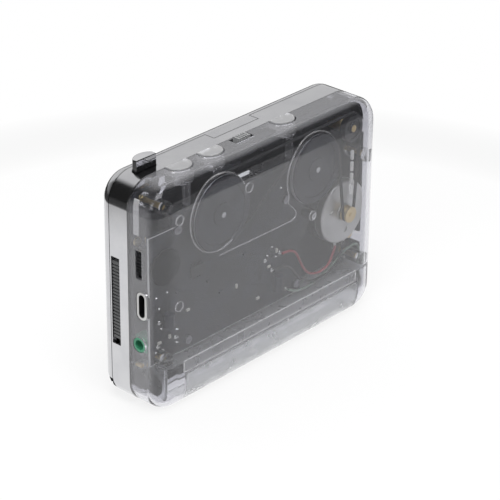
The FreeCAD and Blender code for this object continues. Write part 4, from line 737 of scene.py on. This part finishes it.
# Near-black, low-shine plastic for the flat disc on the board's back.
NEAR_BLACK_DISC = MouldedPlastic("near_black_disc", "#0e0e13", "#08080c", 0.7, ior=1.2)
CAP_SLEEVE = MouldedPlastic("shrunk_pvc_sleeve", "#1d1e2b", "#151620", 0.45, ior=1.4)
ZINC_GREY = WorkedMetal("dull_zinc_plated_steel", "#8f8f93", "#7c7c80", 0.35, 0.08, pitch=0.4)
# Near-black colour that paints shade inside the USB socket's mouth.
SOCKET_PAINTED_SHADE = MouldedPlastic("near_black_socket_painted_shade", "#1a1a1c", "#101011", 0.5)
BARE_RIM = WorkedMetal("bare_turned_steel_rim", "#dcdcdf", "#c8c8cc", 0.55, 0.05, pitch=0.3)
YELLOW_ZINC = WorkedMetal("yellow_chromate_steel", "#c9b27a", "#b39a60", 0.32, 0.08, pitch=0.4)
OXIDE_STEEL = WorkedMetal("black_oxide_steel", "#4a4b4f", "#3a3b3f", 0.42, 0.08, pitch=0.4)
SLIDER_ABS = MouldedPlastic("moulded_charcoal_abs", "#5e5f60", "#525354", 0.55)
KNOB_ABS = MouldedPlastic("moulded_light_grey_abs", "#a4a5a6", "#949596", 0.45)
WHEEL_ABS = MouldedPlastic("knurled_black_abs", "#1f1f21", "#151517", 0.38)
JACK_PBT = MouldedPlastic("moulded_green_pbt", "#4c9c79", "#3b8666", 0.34)
CHIP_EPOXY = MouldedPlastic("moulded_black_epoxy", "#232325", "#191a1b", 0.5)
RED_PVC = MouldedPlastic("extruded_red_pvc", "#9c3c46", "#853039", 0.38, grain=0.6)
BLACK_PVC = MouldedPlastic("extruded_black_pvc", "#29292b", "#1c1c1e", 0.38, grain=0.6)
GREEN_PVC = MouldedPlastic("extruded_grey_green_pvc", "#8c9a90", "#76857a", 0.38, grain=0.6)
BELT_RUBBER = SmoothRubber("ground_chloroprene_belt", "#303032", "#212122", 0.48)
ROLLER_RUBBER = SmoothRubber("ground_nitrile_rubber")
BOARD_MASK = SolderMask("printed_board_dark_mask")
GROUND_STEEL = WorkedMetal("ground_steel", "#c9c9c8", "#bcbcbb", 0.18, 0.05, pitch=0.3)
STAMPED_STEEL = WorkedMetal("stamped_zinc_plated_steel", "#b9bab8", "#a8a9a7", 0.34, 0.08, Lay.BRUSHED, pitch=0.3)
SPRING_STEEL = WorkedMetal("wound_spring_steel", "#b8b8b6", "#a2a2a0", 0.25, 0.06, pitch=0.4)
MOTOR_ZINC = WorkedMetal("drawn_zinc_plated_can", "#d6d6d2", "#c2c2be", 0.42, 0.06, pitch=1.2)
BRASS = WorkedMetal("turned_brass", "#f0dcae", "#dcc694", 0.42, 0.08, pitch=0.3)
BRONZE = WorkedMetal("sintered_bronze", "#a87c50", "#8d6540", 0.5, 0.08, pitch=0.25, depth=0.01)
SOLDER = WorkedMetal("fresh_solder", "#dcdcd8", "#c6c6c2", 0.24, 0.08, pitch=0.8)


def turned_black(name: str, centre: Place) -> WorkedMetal:
    """Names the finish of a blackened flywheel, with its lathe rings round its own axis.

    Args:
        name: Name of the finish.
        centre: Axis of the flywheel, X and Z in millimetres.

    Returns:
        The finish.
    """
    return WorkedMetal(name, "#45464b", "#37383d", 0.38, 0.08, Lay.TURNED, centre, 0.5, 0.006)


@dataclass
class Wardrobe:
    """Builds each finish once and puts it on pieces and CAD nodes."""

    made: dict[str, bpy.types.Material] = field(default_factory=dict)

    def material(self, finish: Finish) -> bpy.types.Material:
        """Gives a finish's material, making it at first use."""
        if finish.name not in self.made:
            self.made[finish.name] = finish.build()
        return self.made[finish.name]

    def dress(self, piece: bpy.types.Object, finish: Finish) -> None:
        """Puts one finish all over a piece.

        Args:
            piece: The piece or CAD node.
            finish: The finish.
        """
        piece.data.materials.clear()
        piece.data.materials.append(self.material(finish))

    def trim(self, piece: bpy.types.Object, finish: Finish, test: Callable[[Any], bool]) -> None:
        """Puts a second finish on some faces of a piece.

        Args:
            piece: The piece, which has its first finish.
            finish: The second finish.
            test: Says whether a face takes it.
        """
        piece.data.materials.append(self.material(finish))
        for face in piece.data.polygons:
            if test(face):
                face.material_index = len(piece.data.materials) - 1

    def finish_piece(self, piece: bpy.types.Object, finish: Finish, body: str, slot: str,
                     stands_for: Sequence[str] = ()) -> None:
        """Dresses a finished piece and puts it on its body.

        Args:
            piece: The piece.
            finish: Its finish.
            body: Body that it rides on.
            slot: The record's material slot; not used.
            stands_for: CAD nodes that it replaces.
        """
        self.dress(piece, finish)
        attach(piece, body)
        if stands_for:
            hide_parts(*stands_for)
        LOG.info("%s: %d faces on %s", piece.name, len(piece.data.polygons), body)


@dataclass
class CaseSizes:
    """Sizes of the case that several sub-assemblies share, in millimetres."""

    length: float = 114.0
    height: float = 83.5
    depth: float = 13.7
    wall: float = 1.6
    corner: float = 9.7
    rim_reach: float = 9.6
    rim_depth: float = 6.1


@dataclass
class RearShell:
    """Clear back shell and battery lid, cut from one moulded form."""

    wardrobe: Wardrobe
    case: CaseSizes = field(default_factory=CaseSizes)
    rim_steps: int = 12
    lid_low: float = -46.4
    lid_high: float = 43.4
    lid_front: float = 4.3
    lid_top: float = 12.6
    key_centres: tuple[float, ...] = (34.6, 19.6, -16.5)
    key_width: float = 9.6
    key_reach: float = 6.55
    gap: float = 0.3
    pillars: tuple[Place, ...] = ((50.2, 76.3), (50.4, 20.4), (-50.4, 20.4), (-51.8, 61.0))

    def form(self) -> bpy.types.Object:
        """Models the hollow shell before any opening is cut.

        Returns:
            The shell.
        """
        c = self.case
        shell = block("rear_shell_form", (-c.length / 2, 0, 0), (c.length / 2, c.depth - c.rim_depth, c.height))
        pick(shell, "EDGE", lambda ends: abs(ends[0].x - ends[1].x) < 1e-6 and abs(ends[0].z - ends[1].z) < 1e-6)
        bpy.ops.mesh.bevel(offset=c.corner * MM, segments=14, profile=0.5)
        leave_edit()
        edge = (c.depth - c.rim_depth) * MM
        pick(shell, "FACE", lambda face: face.normal.y > 0.99 and abs(face.center.y - edge) < 1e-5)
        before = (0.0, 0.0)
        for step in range(1, self.rim_steps + 1):
            angle = math.pi / 2 * step / self.rim_steps
            here = (c.rim_reach * (1 - math.cos(angle)), c.rim_depth * math.sin(angle))
            bpy.ops.mesh.inset(thickness=(here[0] - before[0]) * MM, depth=0)
            bpy.ops.transform.translate(value=(0, (here[1] - before[1]) * MM, 0))
            before = here
        leave_edit()
        pick(shell, "FACE", lambda face: face.normal.y < -0.99)
        bpy.ops.mesh.delete(type="FACE")
        leave_edit()
        modify(shell, "SOLIDIFY", thickness=c.wall * MM, offset=-1, use_even_offset=True)
        return shell

    def key_opening(self, centre: float) -> bpy.types.Object:
        """Makes the cutter of one key's opening, flat at the seam and bowed at the back.

        Args:
            centre: The key's place along the length.

        Returns:
            The cutter.
        """
        half = self.key_width / 2 + self.gap
        shoulder = -1 + (self.key_reach + 1) * 0.45
        outline = [(centre - half, -1, 70), (centre + half, -1, 70)]
        for step in range(17):
            angle = math.pi * step / 16
            outline.append((centre + half * math.cos(angle), shoulder + (self.key_reach - shoulder) * math.sin(angle), 70))
        return prism("key_opening", outline, (0, 0, 20))

    def openings(self) -> list[bpy.types.Object]:
        """Makes the cutters of every opening except the lid's.

        Returns:
            The cutters.
        """
        half = self.case.length / 2
        cutters = [self.key_opening(centre) for centre in self.key_centres]
        cutters.append(block("switch_opening", (0, 0.7, 70), (9.2, 4.3, 90)))
        cutters.append(block("wheel_opening", (half - 3, 3.65, 50.8), (half + 1, 6.45, 61.2)))
        socket = block("socket_opening", (half - 3, 3.65, 35.7), (half + 1, 8.55, 46.3))
        pick(socket, "EDGE", lambda ends: abs(ends[0].x - ends[1].x) > 2 * MM)
        bpy.ops.mesh.bevel(offset=2.44 * MM, segments=10, profile=0.5)
        leave_edit()
        cutters.append(socket)
        cutters.append(rod("jack_opening", "X", (4.7, 25.9), 2.75, half - 3, half + 1))
        return cutters

    def lid_zone(self, gap: float) -> bpy.types.Object:
        """Makes the block that the battery lid fills.

        Args:
            gap: Clearance round it in millimetres.

        Returns:
            The block.
        """
        return block("lid_zone", (self.lid_low - gap, self.lid_front - gap, -1),
                     (self.lid_high + gap, self.case.depth + 1, self.lid_top + gap))

    def build(self) -> None:
        """Models, dresses and places the shell and the lid."""
        shell = self.form()
        lid = twin(shell, "battery_lid_clear")
        combine(lid, [self.lid_zone(0)], "INTERSECT")
        combine(shell, self.openings() + [self.lid_zone(0.2)], "DIFFERENCE")
        shell.name = "rear_shell_clear"
        posts = [rod("pillar", "Y", place, 2.4, 1.5, self.case.depth - 2.2, 40) for place in self.pillars]
        for post, place in zip(posts, self.pillars):
            combine(post, [rod("bore", "Y", place, 1.04, 0.5, 9.0, 32)], "DIFFERENCE")
            modify(post, "BEVEL", width=0.2 * MM, segments=2, limit_method="ANGLE", angle_limit=math.radians(40))
        pillars = gather("case_pillars_clear", posts)
        smooth(pillars, 34)
        for piece in (shell, lid):
            modify(piece, "BEVEL", width=0.18 * MM, segments=2, limit_method="ANGLE",
                   angle_limit=math.radians(40), use_clamp_overlap=True)
            smooth(piece, 34)
        self.wardrobe.finish_piece(shell, CLEAR_SHELL, "case", "clear_plastic", ["rear_shell"])
        self.wardrobe.finish_piece(pillars, CLEAR_PILLAR, "case", "clear_plastic")
        self.wardrobe.finish_piece(lid, CLEAR_LID, "battery_lid", "clear_plastic", ["battery_lid"])


@dataclass
class WallRibs:
    """Fine ribs and rings moulded on the inside of the clear back wall, the lip of the battery bay, and milky white
    strokes that paint highlights.
    """

    wardrobe: Wardrobe
    wall_y: float = 12.1
    width: float = 0.3
    height: float = 0.3
    left_round: Place = (26.7, 66.8)
    right_round: Place = (-21.3, 66.0)
    round_radius: float = 13.8
    rings: tuple[Place, ...] = ((12.0, 70.9), (45.4, 70.7), (45.9, 39.2), (-21.3, 48.4))
    ring_radius: float = 1.75
    # Lower ends of the short white dashes that paint highlights on the back wall near the -X end.
    highlight_dash_heights: tuple[float, ...] = (49.6, 54.0, 58.4, 62.8)
    flange_low: Point = (-46.0, 11.55, 13.1)
    flange_high: Point = (44.0, 12.0, 17.6)

    def lines(self) -> list[list[Place]]:
        """Gives the paths of the long ribs."""
        around = arc(self.right_round, self.round_radius, 128, -22, 40)
        foot = [(-7.9, 58.0), (-10.2, 55.6), (-12.0, 53.6), (-12.0, 51.6), (-10.2, 50.8), (-6.0, 50.6), (26.4, 50.9)]
        return [arc(self.left_round, self.round_radius, 152, -118, 60), around + curve_through(foot)]

    def build(self) -> None:
        """Models, dresses and places the ribs, the rings, the lip and the painted highlight strokes."""
        front = self.wall_y - self.height
        parts = [rib("line", path, self.width, front, self.wall_y + 0.1) for path in self.lines()]
        parts += [rib("ring", arc(place, self.ring_radius, 0, 352.5, 47), self.width, front, self.wall_y + 0.1, True)
                  for place in self.rings]
        ribs = gather("back_wall_ribs", parts)
        smooth(ribs)
        self.wardrobe.finish_piece(ribs, CLEAR_RIB, "case", "clear_plastic")
        # Painted highlights: a milky white streak inside the corner at the +X end, and a row of short white dashes on
        # the back wall near the -X end, stand in for bright reflections.
        highlight_strokes = [block("highlight_streak", (54.75, 1.95, 66.0), (55.3, 4.3, 78.6))]
        highlight_strokes += [block("highlight_dash", (-42.8, 11.2, z), (-41.7, self.wall_y + 0.1, z + 3.6)) for z in self.highlight_dash_heights]
        for piece in highlight_strokes:
            modify(piece, "BEVEL", width=0.25 * MM, segments=3, limit_method="ANGLE", angle_limit=math.radians(40))
        bright = gather("case_painted_highlight_strokes", highlight_strokes)
        smooth(bright)
        self.wardrobe.finish_piece(bright, PAINTED_HIGHLIGHT_RIB, "case", "clear_plastic")
        low, high = self.flange_low, self.flange_high
        flange = block("battery_tray_flange", low, high)
        modify(flange, "BEVEL", width=0.15 * MM, segments=2, limit_method="ANGLE", angle_limit=math.radians(40))
        smooth(flange)
        self.wardrobe.finish_piece(flange, CLEAR_FLANGE, "case", "clear_plastic")
        # Painted highlights: thin milky white bars along the flange's edges stand in for the bright lines that light
        # draws along the ledge.
        highlight_lines = [block("highlight_line", (low[0], high[1] - 0.1, z - 0.22), (high[0], self.wall_y + 0.05, z + 0.22))
                 for z in (low[2] + 0.2, high[2] - 0.2)]
        highlight_lines += [block("highlight_line", (x - 0.22, high[1] - 0.1, low[2] + 0.2), (x + 0.22, self.wall_y + 0.05, high[2] - 0.2))
                  for x in (low[0] + 0.2, high[0] - 0.2)]
        flange_highlights = gather("battery_tray_flange_painted_highlights", highlight_lines)
        modify(flange_highlights, "BEVEL", width=0.06 * MM, segments=1, limit_method="ANGLE", angle_limit=math.radians(40))
        self.wardrobe.finish_piece(flange_highlights, PAINTED_HIGHLIGHT_RIB, "case", "clear_plastic")


@dataclass
class BoardDetails:
    """Bright routed edge of the board, the small parts and pads on its back, and a flat near-black disc there."""

    wardrobe: Wardrobe
    edge_x: float = 55.0
    low_z: float = 18.6
    high_z: float = 66.2
    face_y: float = 8.0
    disc_place: Place = (48.3, 53.6)
    disc_radius: float = 6.4
    pads: tuple[Place, ...] = ((50.8, 38.8), (49.9, 30.9), (49.1, 22.5), (42.8, 27.9), (42.8, 22.9), (52.4, 22.7),
                               (-4.3, 41.1), (-0.8, 36.6), (-4.5, 32.1), (-12.1, 21.6), (-19.0, 20.6), (47.0, 43.5),
                               (52.0, 43.2), (-8.7, 62.3), (-2.0, 38.6), (-6.4, 36.6))
    chips: tuple[Place, ...] = ((47.3, 32.4), (46.2, 26.6), (51.0, 26.0), (-6.6, 39.0), (-2.6, 34.2), (-9.0, 24.6),
                                (3.0, 24.0), (14.0, 33.0), (38.0, 33.4))

    def build(self) -> None:
        """Models, dresses and places the edge, the dark disc, the pads and the chip parts."""
        rear = self.face_y + 0.12
        strips = [block("edge", (self.edge_x - 0.12, 7.45, self.low_z), (self.edge_x + 0.1, rear, self.high_z)),
                  block("edge", (42.0, 7.6, self.high_z - 0.2), (self.edge_x + 0.1, rear, self.high_z + 0.12)),
                  block("edge", (-19.4, 7.6, self.low_z - 0.12), (self.edge_x + 0.1, rear, self.low_z + 0.12))]
        edge = gather("board_routed_edge", strips)
        modify(edge, "BEVEL", width=0.05 * MM, segments=1, limit_method="ANGLE", angle_limit=math.radians(40))
        self.wardrobe.finish_piece(edge, EDGE_EPOXY, "case", "board")
        # A flat near-black disc on the board's back, behind the volume wheel.
        cap = rod("dark_disc_on_board_back", "Y", self.disc_place, self.disc_radius, self.face_y - 0.02, self.face_y + 0.9, 64)
        modify(cap, "BEVEL", width=0.3 * MM, segments=3, limit_method="ANGLE", angle_limit=math.radians(40))
        smooth(cap)
        self.wardrobe.finish_piece(cap, NEAR_BLACK_DISC, "case", "black_plastic")
        drop = rod("pad", "Y", self.pads[0], 0.42, self.face_y - 0.05, self.face_y + 0.35, 20)
        pick(drop, "FACE", lambda face: face.normal.y > 0.9)
        bpy.ops.transform.resize(value=(0.45, 1, 0.45))
        leave_edit()
        drops = [drop]
        for x, z in self.pads[1:]:
            copy = twin(drop, "pad")
            copy.location = ((x - self.pads[0][0]) * MM, 0, (z - self.pads[0][1]) * MM)
            settle(copy)
            drops.append(copy)
        pads = gather("board_solder_drops", drops)
        smooth(pads, 60)
        self.wardrobe.finish_piece(pads, SOLDER, "case", "solder")
        bodies = []
        for index, (x, z) in enumerate(self.chips):
            wide, tall = ((0.8, 0.45), (0.45, 0.8))[index % 2]
            body = block("chip_part", (x - wide, self.face_y - 0.02, z - tall), (x + wide, self.face_y + 0.5, z + tall))
            modify(body, "BEVEL", width=0.1 * MM, segments=2, limit_method="ANGLE", angle_limit=math.radians(40))
            bodies.append(body)
        chips = gather("board_chip_parts", bodies)
        self.wardrobe.finish_piece(chips, CERAMIC, "case", "capacitor")


@dataclass
class SmallHardware:
    """Post with its screw beside the motor, and the brass insert at the socket end's seam."""

    wardrobe: Wardrobe
    post_place: Place = (-25.4, 45.7)
    post_radius: float = 1.7
    post_rear: float = 8.5
    insert_place: Place = (54.4, 17.2)

    def build(self) -> None:
        """Models, dresses and places the post, the screw and the insert."""
        post = rod("deck_post", "Y", self.post_place, self.post_radius, 1.5, self.post_rear, 40)
        screw = rod("deck_post_screw", "Y", self.post_place, 1.25, self.post_rear, self.post_rear + 0.6, 40)
        x, z = self.post_place
        slots = [block("slot", (x - 0.8, self.post_rear + 0.3, z - 0.14), (x + 0.8, self.post_rear + 1, z + 0.14)),
                 block("slot", (x - 0.14, self.post_rear + 0.3, z - 0.8), (x + 0.14, self.post_rear + 1, z + 0.8))]
        combine(screw, slots, "DIFFERENCE")
        insert = rod("seam_insert", "Y", self.insert_place, 0.85, 1.9, 4.6, 40)
        combine(insert, [rod("bore", "Y", self.insert_place, 0.45, 3.2, 5.0, 24)], "DIFFERENCE")
        for piece, finish, slot in ((post, CLIP_ABS, "black_plastic"), (screw, GROUND_STEEL, "steel"),
                                    (insert, BRASS, "brass")):
            modify(piece, "BEVEL", width=0.12 * MM, segments=2, limit_method="ANGLE", angle_limit=math.radians(40))
            smooth(piece)
            self.wardrobe.finish_piece(piece, finish, "case", slot)


@dataclass(frozen=True)
class Refined:
    """A CAD node that is shown by a merged copy with softened edges."""

    node: str
    body: str
    slot: str
    finish: Finish
    bevel: float = 0.12
    degrees: float = 32.0


@dataclass
class RefinedNodes:
    """All the nodes whose shape is kept and whose edges are softened."""

    wardrobe: Wardrobe
    socket_mouth: tuple[Place, Place] = ((4.55, 36.7), (7.65, 45.3))
    slide_plate: float = 55.3
    rows: tuple[Refined, ...] = (
        Refined("front_frame", "case", "silver_plastic", SILVER, 0.15),
        Refined("cassette_door", "door", "silver_plastic", SILVER, 0.15),
        Refined("play_key", "play_key", "plated_key", KEY_PLATING, 0.2),
        Refined("forward_key", "forward_key", "clear_plastic", CLEAR_KEY, 0.25),
        Refined("rewind_key", "rewind_key", "clear_plastic", CLEAR_KEY, 0.25),
        Refined("stop_key", "stop_key", "clear_plastic", CLEAR_KEY, 0.25),
        Refined("chassis", "case", "black_plastic", CHASSIS_ABS, 0.15),
        Refined("motor", "case", "motor_can", MOTOR_ZINC, 0.1),
        Refined("latch_slider", "latch_slider", "grey_plastic", SLIDER_ABS, 0.08),
        Refined("switch_knob", "switch_knob", "grey_plastic", KNOB_ABS, 0.08),
        Refined("battery_tray", "case", "clear_plastic", CLEAR_TRAY, 0.1),
        Refined("usb_socket", "case", "steel", GROUND_STEEL, 0.12),
        Refined("headphone_jack", "case", "green_plastic", JACK_PBT, 0.15),
        Refined("socket_side_flywheel", "socket_side_flywheel", "dark_steel",
                turned_black("turned_black_steel_socket_side", (24.0, 65.0)), 0.45),
        Refined("motor_side_flywheel", "motor_side_flywheel", "dark_steel",
                turned_black("turned_black_steel_motor_side", (-24.0, 65.0)), 0.45),
    )

    def build(self) -> None:
        """Makes, dresses and places the copies."""
        for row in self.rows:
            piece = tidy_copy(row.node, row.node + "_finished", row.bevel, row.degrees)
            self.wardrobe.finish_piece(piece, row.finish, row.body, row.slot, [row.node])
            if row.node.endswith("flywheel"):
                self.wardrobe.trim(piece, BARE_RIM, lambda face: abs(face.normal.y) < 0.3)
            elif row.node == "latch_slider":
                self.wardrobe.trim(piece, SILVER, lambda face: face.center.x < self.slide_plate * MM)
            elif row.node == "usb_socket":
                # Painted shade: every face inside the socket's mouth, walls included, and every face deeper in than 56
                # mm, is near-black, so the recess reads dark.
                self.wardrobe.trim(piece, SOCKET_PAINTED_SHADE, self.in_socket)

    def in_socket(self, face: Any) -> bool:
        """Tells whether a face lies inside the long socket's mouth."""
        low, high = self.socket_mouth
        across = (face.center.y / MM - low[0]) / (high[0] - low[0])
        upward = (face.center.z / MM - low[1]) / (high[1] - low[1])
        return 0 < across < 1 and 0 < upward < 1 and face.normal.x < 0.9 or face.center.x / MM < 56.0


@dataclass(frozen=True)
class SpringRow:
    """A compression spring, the joint that presses it, and how far."""

    node: str
    joint: str
    travel: float
    finish: Finish


@dataclass
class Springs:
    """Compression springs along Z, each shown by a merged copy of its CAD node."""

    wardrobe: Wardrobe
    rows: tuple[SpringRow, ...] = (
        SpringRow("forward_key_spring", "forward_key_travel", 2.5, OXIDE_STEEL),
        SpringRow("rewind_key_spring", "rewind_key_travel", 2.5, OXIDE_STEEL),
        SpringRow("stop_key_spring", "stop_key_travel", 2.5, SPRING_STEEL),
        SpringRow("bridge_spring", "head_bridge_travel", 3.6, SPRING_STEEL),
        SpringRow("latch_spring", "latch_travel", 1.9, SPRING_STEEL),
    )

    def build(self) -> None:
        """Makes, dresses and places the springs."""
        for row in self.rows:
            piece = tidy_copy(row.node, row.node + "_wound")
            self.wardrobe.finish_piece(piece, row.finish, "case", "steel", [row.node])
            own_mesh(piece)


@dataclass
class PlainNodes:
    """CAD nodes that are shown as they are, each with its finish."""

    wardrobe: Wardrobe
    finishes: dict[str, Finish] = field(default_factory=lambda: {
        "door_window": CLEAR_PANE,
        "cassette_clips": CLIP_ABS,
        "door_hinge_pins": GROUND_STEEL,
        "chassis_screws": YELLOW_ZINC,
        "frame_screws": BRASS,
        "socket_side_capstan": GROUND_STEEL,
        "motor_side_capstan": GROUND_STEEL,
        "capstan_bushes": BRONZE,
        "motor_ring": ROLLER_RUBBER,
        "motor_pulley": BRASS,
        "idler_pulley": IDLER_ACETAL,
        "idler_post": BRASS,
        "drive_belt": BELT_RUBBER,
        "supply_spindle": SPINDLE_ACETAL,
        "takeup_spindle": SPINDLE_ACETAL,
        "takeup_idler_wheel": ROLLER_RUBBER,
        "supply_idler_wheel": ROLLER_RUBBER,
        "pivot_pins": GROUND_STEEL,
        "reel_plate": OXIDE_STEEL,
        "head_bridge": OXIDE_STEEL,
        "tape_head": GROUND_STEEL,
        "socket_side_pinch_arm": STAMPED_STEEL,
        "motor_side_pinch_arm": STAMPED_STEEL,
        "socket_side_pinch_roller": ROLLER_RUBBER,
        "motor_side_pinch_roller": ROLLER_RUBBER,
        "circuit_board": BOARD_MASK,
        "board_screws": ZINC_GREY,
        "amplifier_chip": CHIP_EPOXY,
        "capacitors": CAP_SLEEVE,
        "solder_joints": SOLDER,
        "volume_pot": CLIP_ABS,
        "volume_wheel": WHEEL_ABS,
        "slide_switch": OXIDE_STEEL,
        "battery_terminals": STAMPED_STEEL,
        "battery_spring": SPRING_STEEL,
        "motor_lead_red": RED_PVC,
        "motor_lead_black": BLACK_PVC,
        "battery_lead": GREEN_PVC,
    })

    def build(self) -> None:
        """Dresses the nodes."""
        for node, finish in self.finishes.items():
            self.wardrobe.dress(frame["nodes"][node], finish)
        LOG.info("%d CAD nodes dressed", len(self.finishes))


@dataclass
class Studio:
    """Floor, soft light and the camera at the photograph's angle."""

    azimuth: float = 131.935
    elevation: float = 27.258
    roll: float = 0.533
    distance: float = 777.0
    target: Point = (-2.97, 0.0, 37.31)
    lens: float = 160.34
    floor_size: float = 6.0
    sheet_radius: float = 0.19
    panel_way: Point = (-0.661, -0.594, 0.458)
    panel_level: float = 0.72
    room_level: float = 0.02
    fill_level: float = 0.3

    def camera(self) -> None:
        """Adds the camera."""
        turn, rise, roll = (math.radians(v) for v in (self.azimuth, self.elevation, self.roll))
        back = Vector((math.sin(turn) * math.cos(rise), -math.cos(turn) * math.cos(rise), math.sin(rise)))
        across = Vector((0, 0, 1)).cross(back).normalized()
        above = back.cross(across)
        right = across * math.cos(roll) + above * math.sin(roll)
        upward = above * math.cos(roll) - across * math.sin(roll)
        place = (Vector(self.target) + back * self.distance) * MM
        data = bpy.data.cameras.new("camera")
        data.lens = self.lens
        data.sensor_width = 36.0
        data.clip_start = 0.01
        camera = bpy.data.objects.new("camera", data)
        bpy.context.scene.collection.objects.link(camera)
        turn_matrix = Matrix((right, upward, back)).transposed().to_4x4()
        camera.matrix_world = Matrix.Translation(place) @ turn_matrix
        bpy.context.scene.camera = camera

    def floor(self) -> None:
        """Adds the plain pale floor. A white sheet lies round the object, and mirrors see the dark floor past it."""
        bpy.ops.mesh.primitive_plane_add(size=self.floor_size, location=(0, 0, 0))
        floor = bpy.context.object
        floor.name = "floor"
        material, tree, place = new_material("matt_white_paper")
        reach = add_node(tree, "VectorMath", {0: place}, operation="LENGTH").outputs["Value"]
        past = spread(tree, reach, 0.0, 1.0, self.sheet_radius - 0.02, self.sheet_radius + 0.03)
        tone = blend_colours(tree, past, "#f4f4f4", "#404040")
        paper = add_node(tree, "BsdfDiffuse", {"Color": tone})
        glow = add_node(tree, "Emission", {"Color": (1, 1, 1, 1), "Strength": 1.0})
        ray = add_node(tree, "LightPath")
        seen = add_node(tree, "Math", {0: ray.outputs["Is Camera Ray"], 1: ray.outputs["Is Transmission Ray"]},
                        operation="MAXIMUM")
        share = add_node(tree, "Math", {0: spread(tree, past, 0.75, 1.0, 0.0, 1.0), 1: seen.outputs[0]},
                         operation="MULTIPLY")
        fading = spread(tree, reach, 1.0, 0.6, 0.09, 0.185)
        edge = add_node(tree, "Math", {0: fading, 1: spread(tree, past, 1.0, 0.0, 0.0, 1.0)}, operation="MULTIPLY")
        mirrored = add_node(tree, "Math", {0: edge.outputs[0], 1: ray.outputs["Is Glossy Ray"]},
                            operation="MULTIPLY")
        total = add_node(tree, "Math", {0: share.outputs[0], 1: mirrored.outputs[0]}, operation="MAXIMUM")
        mixed = add_node(tree, "MixShader", {0: total.outputs[0], 1: paper.outputs[0], 2: glow.outputs[0]})
        close_tree(tree, mixed.outputs[0])
        floor.data.materials.append(material)

    def sky(self) -> None:
        """Sets the room: dark, with one wide soft panel behind and above the silver front."""
        world = bpy.data.worlds.new("studio")
        bpy.context.scene.world = world
        world.use_nodes = True
        tree = world.node_tree
        tree.nodes.clear()
        way = add_node(tree, "TexCoord").outputs["Generated"]
        toward = add_node(tree, "VectorMath", {0: way, 1: self.panel_way}, operation="DOT_PRODUCT")
        panel = spread(tree, toward.outputs["Value"], self.room_level, self.panel_level, 0.46, 0.66)
        over = add_node(tree, "VectorMath", {0: way, 1: (0.0, 0.0, 1.0)}, operation="DOT_PRODUCT").outputs["Value"]
        front = add_node(tree, "VectorMath", {0: way, 1: (0.0, -1.0, 0.0)}, operation="DOT_PRODUCT").outputs["Value"]
        fill = add_node(tree, "Math", {0: spread(tree, over, 0.0, self.fill_level, 0.84, 0.92),
                                       1: spread(tree, front, 0.0, self.fill_level, 0.78, 0.9)}, operation="MAXIMUM")
        level = add_node(tree, "Math", {0: panel, 1: fill.outputs[0]}, operation="MAXIMUM")
        room = add_node(tree, "Background", {"Color": (1, 1, 1, 1), "Strength": level.outputs[0]})
        ray = add_node(tree, "LightPath")
        through = add_node(tree, "Background", {"Color": (1, 1, 1, 1), "Strength": 0.22})
        white = add_node(tree, "Background", {"Color": (1, 1, 1, 1), "Strength": 1.0})
        first = add_node(tree, "MixShader", {0: ray.outputs["Is Transmission Ray"], 1: room.outputs[0],
                                             2: through.outputs[0]})
        mixed = add_node(tree, "MixShader", {0: ray.outputs["Is Camera Ray"], 1: first.outputs[0],
                                             2: white.outputs[0]})
        add_node(tree, "OutputWorld", {"Surface": mixed.outputs[0]})

    def lamp(self, name: str, place: Point, size: float, power: float, mirrored: bool) -> None:
        """Adds one soft lamp that points at the object.

        Args:
            name: Name of the lamp.
            place: Its place in metres.
            size: Side of its square face in metres.
            power: Its power in watts.
            mirrored: Whether it shows in reflections.
        """
        data = bpy.data.lights.new(name, "AREA")
        data.shape = "SQUARE"
        data.size = size
        data.energy = power
        lamp = bpy.data.objects.new(name, data)
        bpy.context.scene.collection.objects.link(lamp)
        lamp.location = place
        lamp.rotation_euler = (Vector(place) - Vector((0, 0, 0.04))).to_track_quat("Z", "Y").to_euler()
        lamp.visible_glossy = mirrored

    def build(self) -> None:
        """Sets up the whole studio."""
        self.camera()
        self.floor()
        self.sky()
        self.lamp("over_light", (0.3, 0.5, 1.5), 1.2, 24.0, False)
        self.lamp("end_light", (1.4, 0.3, 0.7), 0.8, 8.0, False)
        scene = bpy.context.scene
        scene.view_settings.view_transform = "Standard"
        LOG.info("studio ready")


def main() -> None:
    """Builds every sub-assembly in order."""
    logging.basicConfig(level=logging.INFO, format="%(name)s: %(message)s")
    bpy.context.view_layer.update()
    wardrobe = Wardrobe()
    Studio().build()
    PlainNodes(wardrobe).build()
    RefinedNodes(wardrobe).build()
    Springs(wardrobe).build()
    RearShell(wardrobe).build()
    WallRibs(wardrobe).build()
    BoardDetails(wardrobe).build()
    SmallHardware(wardrobe).build()
    bpy.context.view_layer.update()


if __name__ == "__main__":
    main()
